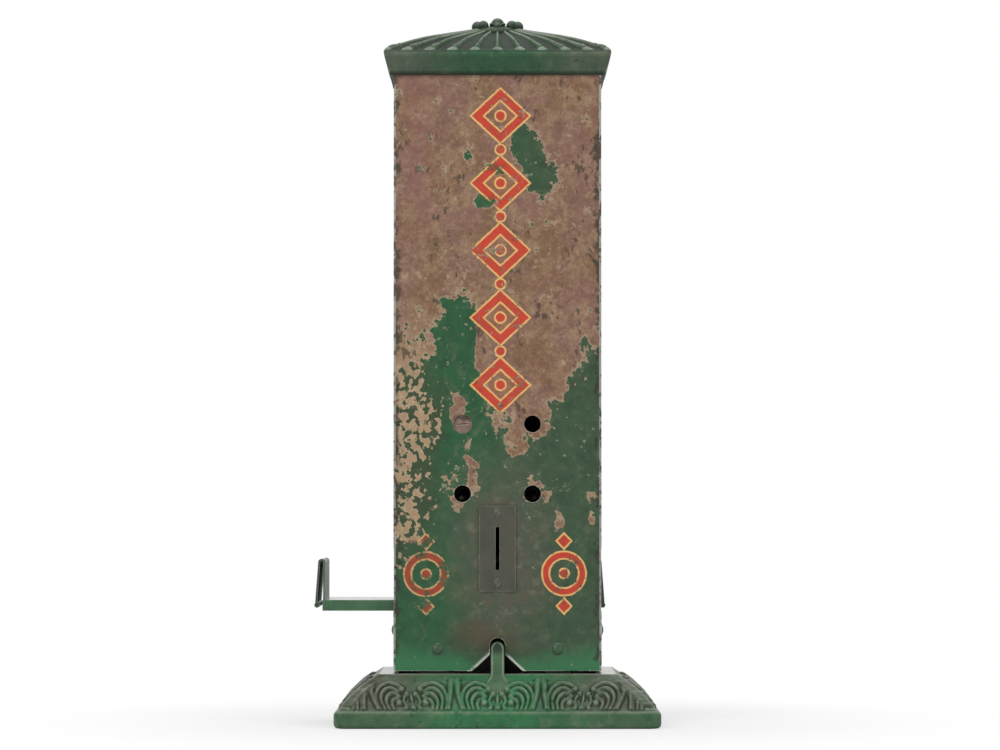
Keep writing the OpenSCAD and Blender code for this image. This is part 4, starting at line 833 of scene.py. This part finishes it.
def make_post():
    """Upright post with a rounded top and a flared foot that runs down the slope."""
    outline = Outline(10, 14, 6)
    rings, relief = [], []

    def level(half_w, front, back, z, worn, edge):
        points = outline.ring(half_w, (back - front) / 2, z, min(POST_EDGE_R, half_w * 0.9))
        points[:, 1] += (front + back) / 2
        rings.append(points)
        relief.append(worn + np.where(outline.corner & (points[:, 1] < (front + back) / 2), edge, 0.0))

    for u in np.linspace(FOOT_U, 1, 16):
        half_y, z = slope_place(u)[1:]
        to_post = -PLATEAU_D / 2 - POST_FRONT - FOOT_LIFT
        lift = FOOT_LIFT * smooth(u, FOOT_U, FOOT_U + 0.22) + to_post * smooth(u, 0.8, 1)
        back = POST_BACK if u > 0.8 else 2.5 - half_y
        level(POST_HALF_W + FOOT_FLARE * smooth(u, 1.0, 0.72), -half_y - lift, back, z - 0.2, 0.44,
              0.4 * smooth(u, 0.66, 0.9))
    for z in np.linspace(BASE_H + 1, POST_TOP - POST_HALF_W, 8):
        level(POST_HALF_W, POST_FRONT, POST_BACK, z, 0.44 - 0.3 * smooth(z, POST_TOP - 8, POST_TOP - 3), 0.45)
    for a in np.radians(np.arange(10, 86, 12.5)):
        level(POST_HALF_W * math.cos(a), POST_FRONT + 0.9 * (1 - math.cos(a)), POST_BACK,
              POST_TOP - POST_HALF_W * (1 - math.sin(a)), 0.14, 0.55)
    return build("cutter_post", np.concatenate(rings), skin(rings), np.concatenate(relief), "cabinet",
                 "base_casting", post_paint, 50)


LUG_FLOOR_Z = 23.5
LUG_HALF_W = 6
FRONT_LUG_X = 28.8
FRONT_LUG_Y = (-32, -27)
FRONT_LUG_TOP = 41.5
SIDE_LUG_X = (43, 48)
SIDE_LUG_TOP = 49.7
LUG_EDGE_R = 0.5
RIB_HALF_W = 2
RIB_EDGE_R = 0.4

# Half depth, foot and top of the rib's two steps
RIB_STEPS = ((55, 0, 8.0), (40, 7, 22.5))


def make_lugs():
    """Screw lugs inside the body and the rib across the hollow of the base."""
    points, faces, relief = [], [], []

    def block(low, high, r):
        outline = Outline(3, 3, 3)
        half = [(h - l) / 2 for l, h in zip(low, high)]
        mid = [(h + l) / 2 for l, h in zip(low, high)]
        rings = []
        for inset, z in ((r, low[2]), (0, low[2] + r), (0, high[2] - r), (r, high[2])):
            made = outline.ring(half[0] - inset, half[1] - inset, z, r * 1.2)
            made[:, 0] += mid[0]
            made[:, 1] += mid[1]
            rings.append(made)
        faces.extend(skin(rings, sum(len(p) for p in points)))
        points.append(np.concatenate(rings))
        relief.append(np.full(len(points[-1]), 0.35))

    for side in (-1, 1):
        block((side * FRONT_LUG_X - LUG_HALF_W, FRONT_LUG_Y[0], LUG_FLOOR_Z),
              (side * FRONT_LUG_X + LUG_HALF_W, FRONT_LUG_Y[1], FRONT_LUG_TOP), LUG_EDGE_R)
        inner, outer = sorted(side * x for x in SIDE_LUG_X)
        block((inner, -LUG_HALF_W, LUG_FLOOR_Z), (outer, LUG_HALF_W, SIDE_LUG_TOP), LUG_EDGE_R)
    for half_d, foot, top in RIB_STEPS:
        block((-RIB_HALF_W, -half_d, foot), (RIB_HALF_W, half_d, top), RIB_EDGE_R)
    return build("base_lugs", np.concatenate(points), faces, np.concatenate(relief), "cabinet",
                 "base_casting", base_paint)


make_base()
make_post()
make_lugs()

# Lid casting

lid_low, lid_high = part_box("lid_casting")
LID_HALF_W = lid_high.x / MM
LID_HALF_D = lid_high.y / MM
LID_Z0 = lid_low.z / MM
BODY_TOP = LID_Z0 + 2.5
LID_RIM_Z = LID_Z0 + 2.3
LID_WIDE_Z = LID_Z0 + 10.4
EAVE_H = 4.3
EAVE_IN = 5.0
EAVE_RUN = 7.1
ROOF_RUN = 45.0
EAVE_Z = LID_WIDE_Z + EAVE_H
APEX_Z = LID_Z0 + 28.5
ROOF_BULGE = 1.1
FLUTES = (10, 7)
FLUTE_STEPS = 16
FLUTE_DEPTH = 2.0
ROOF_ROWS = 56
BODY_HALF_D = -FRONT_Y


def lid_outline():
    """Unit-square points round the lid, and where each lies across its flute from 0 to 1."""
    points, across = [], []
    corners = [(-1, -1), (1, -1), (1, 1), (-1, 1)]
    for k in range(4):
        steps = FLUTES[k % 2] * FLUTE_STEPS
        (x0, y0), (x1, y1) = corners[k], corners[(k + 1) % 4]
        for i in range(steps):
            points.append((x0 + (x1 - x0) * i / steps, y0 + (y1 - y0) * i / steps))
            across.append(i % FLUTE_STEPS / FLUTE_STEPS)
    return np.array(points), np.array(across)


def rounded(unit, half_x, half_y, r, inward=0.0):
    """Unit-square points laid on a rounded rectangle and moved inward."""
    p = unit * (half_x, half_y)
    c = np.clip(p, (r - half_x, r - half_y), (half_x - r, half_y - r))
    d = p - c
    far = np.hypot(*d.T)
    at_corner = (d[:, 0] != 0) & (d[:, 1] != 0)
    away = d / np.maximum(far, 1e-9)[:, None]
    p[at_corner] = (c + r * away)[at_corner]
    return p - away * np.broadcast_to(inward, len(p))[:, None]


def make_lid():
    unit, across = lid_outline()
    side = 2 * across - 1
    to_ridge = np.minimum(across, 1 - across)
    rings, relief = [], []

    def level(half_x, half_y, z, r, height, inward=0.0):
        flat = rounded(unit, half_x, half_y, r, inward)
        rings.append(np.column_stack([flat, np.broadcast_to(z, len(flat))]))
        relief.append(np.broadcast_to(height, len(flat)).astype(float))

    in_x, in_y = BODY_HALF_W - 4, BODY_HALF_D - 4
    lap_x, lap_y = BODY_HALF_W + 0.3, BODY_HALF_D + 0.3
    rim_x, rim_y = BODY_HALF_W + 2, BODY_HALF_D + 2
    # Low relief under the lid and up its lower rim darkens the paint there: painted shade.
    level(in_x * 0.55, in_y * 0.55, EAVE_Z - 3, 2, 0.1)
    level(in_x, in_y, EAVE_Z - 3, 2, 0.1)
    level(in_x, in_y, BODY_TOP, 2, 0.1)
    level(lap_x, lap_y, BODY_TOP, 2, 0.1)
    level(lap_x, lap_y, LID_Z0, 2, 0.0)
    level(rim_x - 0.5, rim_y - 0.5, LID_Z0, 3, 0.0)
    level(rim_x, rim_y, LID_Z0 + 0.5, 3, 0.12)
    level(rim_x, rim_y, LID_RIM_Z, 3, 0.30)
    for t in np.linspace(0, 1, 10)[1:]:
        out = (LID_HALF_W - rim_x) * t + 0.35 * math.sin(math.pi * t)
        level(rim_x + out, rim_y + out, LID_RIM_Z + (LID_WIDE_Z - LID_RIM_Z) * t, 3 + t,
              0.30 + 0.3 * smooth(t, 0.8, 1))

    def flute(q):
        """Scoops, darts and ribs of the flutes, and their wear with painted highlight, at a distance up from
        the widest line.
        """
        near_top = smooth(q, EAVE_RUN, EAVE_RUN + ROOF_RUN)
        rib = np.exp(-(to_ridge / (0.085 + 0.09 * near_top)) ** 2)
        run = np.clip((q - 0.9 - 2.6 * side ** 2) / 3.4, 0, 1)
        scoop = np.sqrt(np.clip(1 - side ** 2, 0, 1)) * np.sqrt(1 - (1 - run) ** 2)
        dart = smooth(0.27 * (1 - ((q - 0.3) / 8.0) ** 1.6) - to_ridge, -0.04, 0.04) * smooth(q, 0.3, 1.3)
        # Ribs lighter towards the top: painted highlight as well as wear.
        rib_wear_and_highlight = (0.85 + 0.3 * near_top) * rib * smooth(q, 2.0, 5.0)
        return scoop, dart, rib, np.maximum((0.74 - 0.2 * (q > 3)) * dart, rib_wear_and_highlight)

    # Deep in the scoops the relief stays low, so the paint darkens there: painted shade.
    for a in np.radians(np.arange(6, 91, 6)):
        scoop, dart, _, light = flute(EAVE_RUN * a / (math.pi / 2))
        down = FLUTE_DEPTH * scoop - 0.5 * dart
        inset = EAVE_IN * (1 - math.cos(a))
        level(LID_HALF_W - inset, LID_HALF_D - inset, LID_WIDE_Z + (EAVE_H - down) * math.sin(a), 4,
              np.maximum(light, 0.3 * (1 - scoop)), down * math.cos(a))
    top_x, top_y = LID_HALF_W - EAVE_IN, LID_HALF_D - EAVE_IN
    for s in np.linspace(1, 0.10, ROOF_ROWS)[1:]:
        z = EAVE_Z + (APEX_Z - EAVE_Z) * (1 - s) + ROOF_BULGE * math.sin(math.pi * s * s)
        scoop, dart, rib, light = flute(EAVE_RUN + ROOF_RUN * (1 - s))
        down = FLUTE_DEPTH * (0.25 + 0.75 * s) * s ** 0.3 * scoop - 0.5 * dart - 0.35 * rib * s
        level(top_x * s, top_y * s, z - down, 4 * s, np.maximum(light, 0.25 * (1 - scoop)))
    return build("lid_roof", np.concatenate(rings), skin(rings), np.concatenate(relief), "lid", "lid_casting",
                 lid_paint, 60)


LOBES = 8
LOBE_RING_R = 9.8
BOSS_R = 3.4

# Radius, height from the apex and relief of the rings of the scalloped disc; low relief darkens the paint as
# painted shade
FINIAL_DISC = ((11.4, -5.0, 0.2), (11.8, -3.6, 0.5), (11.2, -2.8, 0.5), (8.0, -1.6, 0.2), (4.0, -1.0, 0.2))


def make_finial():
    """Round boss inside a ring of lobes, on a low scalloped disc."""
    points, faces, relief = [], [], []

    def ball(centre, radii, turn, steps=20):
        first = sum(len(p) for p in points)
        rings = []
        for a in np.radians(np.linspace(-88, 88, 15)):
            ring_angle = np.linspace(0, 2 * math.pi, steps, endpoint=False)
            local = np.column_stack([radii[0] * math.cos(a) * np.cos(ring_angle),
                                     radii[1] * math.cos(a) * np.sin(ring_angle),
                                     np.full(steps, radii[2] * math.sin(a))])
            c, s = math.cos(turn), math.sin(turn)
            rings.append(np.column_stack([centre[0] + c * local[:, 0] - s * local[:, 1],
                                          centre[1] + s * local[:, 0] + c * local[:, 1],
                                          centre[2] + local[:, 2]]))
            # Upper halves get more relief and lower halves less: worn paint with painted light on top,
            # painted shade below.
            relief.append(np.full(steps, 0.18 + 0.42 * max(0, math.sin(a))))
        faces.extend(skin(rings, first))
        points.append(np.concatenate(rings))

    for i in range(LOBES):
        a = 2 * math.pi * i / LOBES
        long = abs(math.cos(a))
        size = 2.1 + 0.8 * long
        lobe_z = APEX_Z - 2.2 + 0.9 * long
        ball((LOBE_RING_R * math.cos(a), LOBE_RING_R * math.sin(a), lobe_z), (size, size, size), a)
        b = a + math.pi / LOBES
        ball((7.0 * math.cos(b), 7.0 * math.sin(b), APEX_Z - 0.9), (2.4, 1.0, 1.0), b, 14)
    ball((0, 0, APEX_Z - 0.4), (BOSS_R, BOSS_R, BOSS_R + 0.2), 0.0, 32)
    ball((0, 0, APEX_Z - 1.6), (BOSS_R + 1.5, BOSS_R + 1.5, 1.3), 0.0, 32)
    first = sum(len(p) for p in points)
    rings = []
    around = np.linspace(0, 2 * math.pi, 96, endpoint=False)
    scallop = 1 + 0.05 * np.cos(LOBES * around)
    for r, z, high in FINIAL_DISC:
        rings.append(np.column_stack([r * scallop * np.cos(around), r * scallop * np.sin(around),
                                      np.full(len(around), APEX_Z + z)]))
        relief.append(np.full(len(around), high))
    faces.extend(skin(rings, first))
    points.append(np.concatenate(rings))
    return build("lid_finial", np.concatenate(points), faces, np.concatenate(relief), "lid", "lid_casting",
                 finial_paint, 60)


make_lid()
make_finial()

# Stage, light and camera


def area_light(name, place, target, size, watts):
    data = bpy.data.lights.new(name, "AREA")
    data.shape = "RECTANGLE"
    data.size, data.size_y = size
    data.energy = watts
    made = bpy.data.objects.new(name, data)
    made.location = place
    made.rotation_euler = (Vector(target) - Vector(place)).to_track_quat("-Z", "Y").to_euler()
    bpy.context.scene.collection.objects.link(made)


STAGE_HALF = 6.0
GLOW_MM = (90.0, 260.0)
LIGHT_AIM = (0, 0, 0.17)


def make_stage():
    mesh = bpy.data.meshes.new("stage_floor")
    far = STAGE_HALF
    mesh.from_pydata([(-far, -far, 0), (far, -far, 0), (far, far, 0), (-far, far, 0)], [], [(0, 1, 2, 3)])
    floor = bpy.data.objects.new("stage_floor", mesh)
    bpy.context.scene.collection.objects.link(floor)
    g = Graph("stage_white")
    floor_white = g.finish(tone(250, 250, 250), 0.9, specular=0.1)
    glow = g.node("ShaderNodeEmission", {"Color": (1, 1, 1, 1), "Strength": 1.0}).outputs[0]
    seen = g.tree.nodes.new("ShaderNodeLightPath").outputs["Is Camera Ray"]
    far_off = g.band(g.length(g.x, g.y), *GLOW_MM)
    much = g.times(seen, g.add(g.times(far_off, 0.45), 0.55))
    both = g.node("ShaderNodeMixShader", {0: much, 1: g.shader.outputs["BSDF"], 2: glow}).outputs[0]
    g.tree.links.new(both, g.tree.nodes["Material Output"].inputs["Surface"])
    mesh.materials.append(floor_white)

    world = bpy.data.worlds.new("studio")
    bpy.context.scene.world = world
    world.use_nodes = True
    tree = world.node_tree
    back = tree.nodes["Background"]
    path = tree.nodes.new("ShaderNodeLightPath").outputs
    aim = tree.nodes.new("ShaderNodeSeparateXYZ")
    tree.links.new(tree.nodes.new("ShaderNodeTexCoord").outputs["Generated"], aim.inputs[0])

    def level(value, low, high, start=0.0, end=1.0):
        made = tree.nodes.new("ShaderNodeMapRange")
        ends = {"Value": value, "From Min": start, "From Max": end, "To Min": low, "To Max": high}
        for key, given in ends.items():
            if isinstance(given, bpy.types.NodeSocket):
                tree.links.new(given, made.inputs[key])
            else:
                made.inputs[key].default_value = given
        return made.outputs[0]

    behind = level(aim.outputs[1], 0.2, 1.0, 0.1, 0.7)
    strength = level(path["Is Camera Ray"], level(path["Is Glossy Ray"], 0.26, behind), 1.0)
    tree.links.new(strength, back.inputs["Strength"])
    back.inputs["Color"].default_value = (1, 1, 1, 1)

    area_light("key", (-1.3, -1.7, 1.5), LIGHT_AIM, (1.2, 1.2), 24)
    area_light("fill", (1.7, -1.3, 0.7), LIGHT_AIM, (0.8, 1.6), 12)
    area_light("top", (0.0, 0.2, 2.2), LIGHT_AIM, (1.6, 1.6), 22)


CAMERA_X = 0.0012
CAMERA_Z = 0.109
CAMERA_BACK = 1.8
AIM_Z = 0.168


def make_camera():
    data = bpy.data.cameras.new("photo_view")
    data.sensor_width = 36
    data.lens = 135
    made = bpy.data.objects.new("photo_view", data)
    made.location = (CAMERA_X, FRONT_Y * MM - CAMERA_BACK, CAMERA_Z)
    made.rotation_euler = (math.pi / 2 + math.atan2(AIM_Z - CAMERA_Z, CAMERA_BACK), 0, 0)
    bpy.context.scene.collection.objects.link(made)
    bpy.context.scene.camera = made


make_stage()
make_camera()
bpy.context.scene.view_settings.view_transform = "Standard"
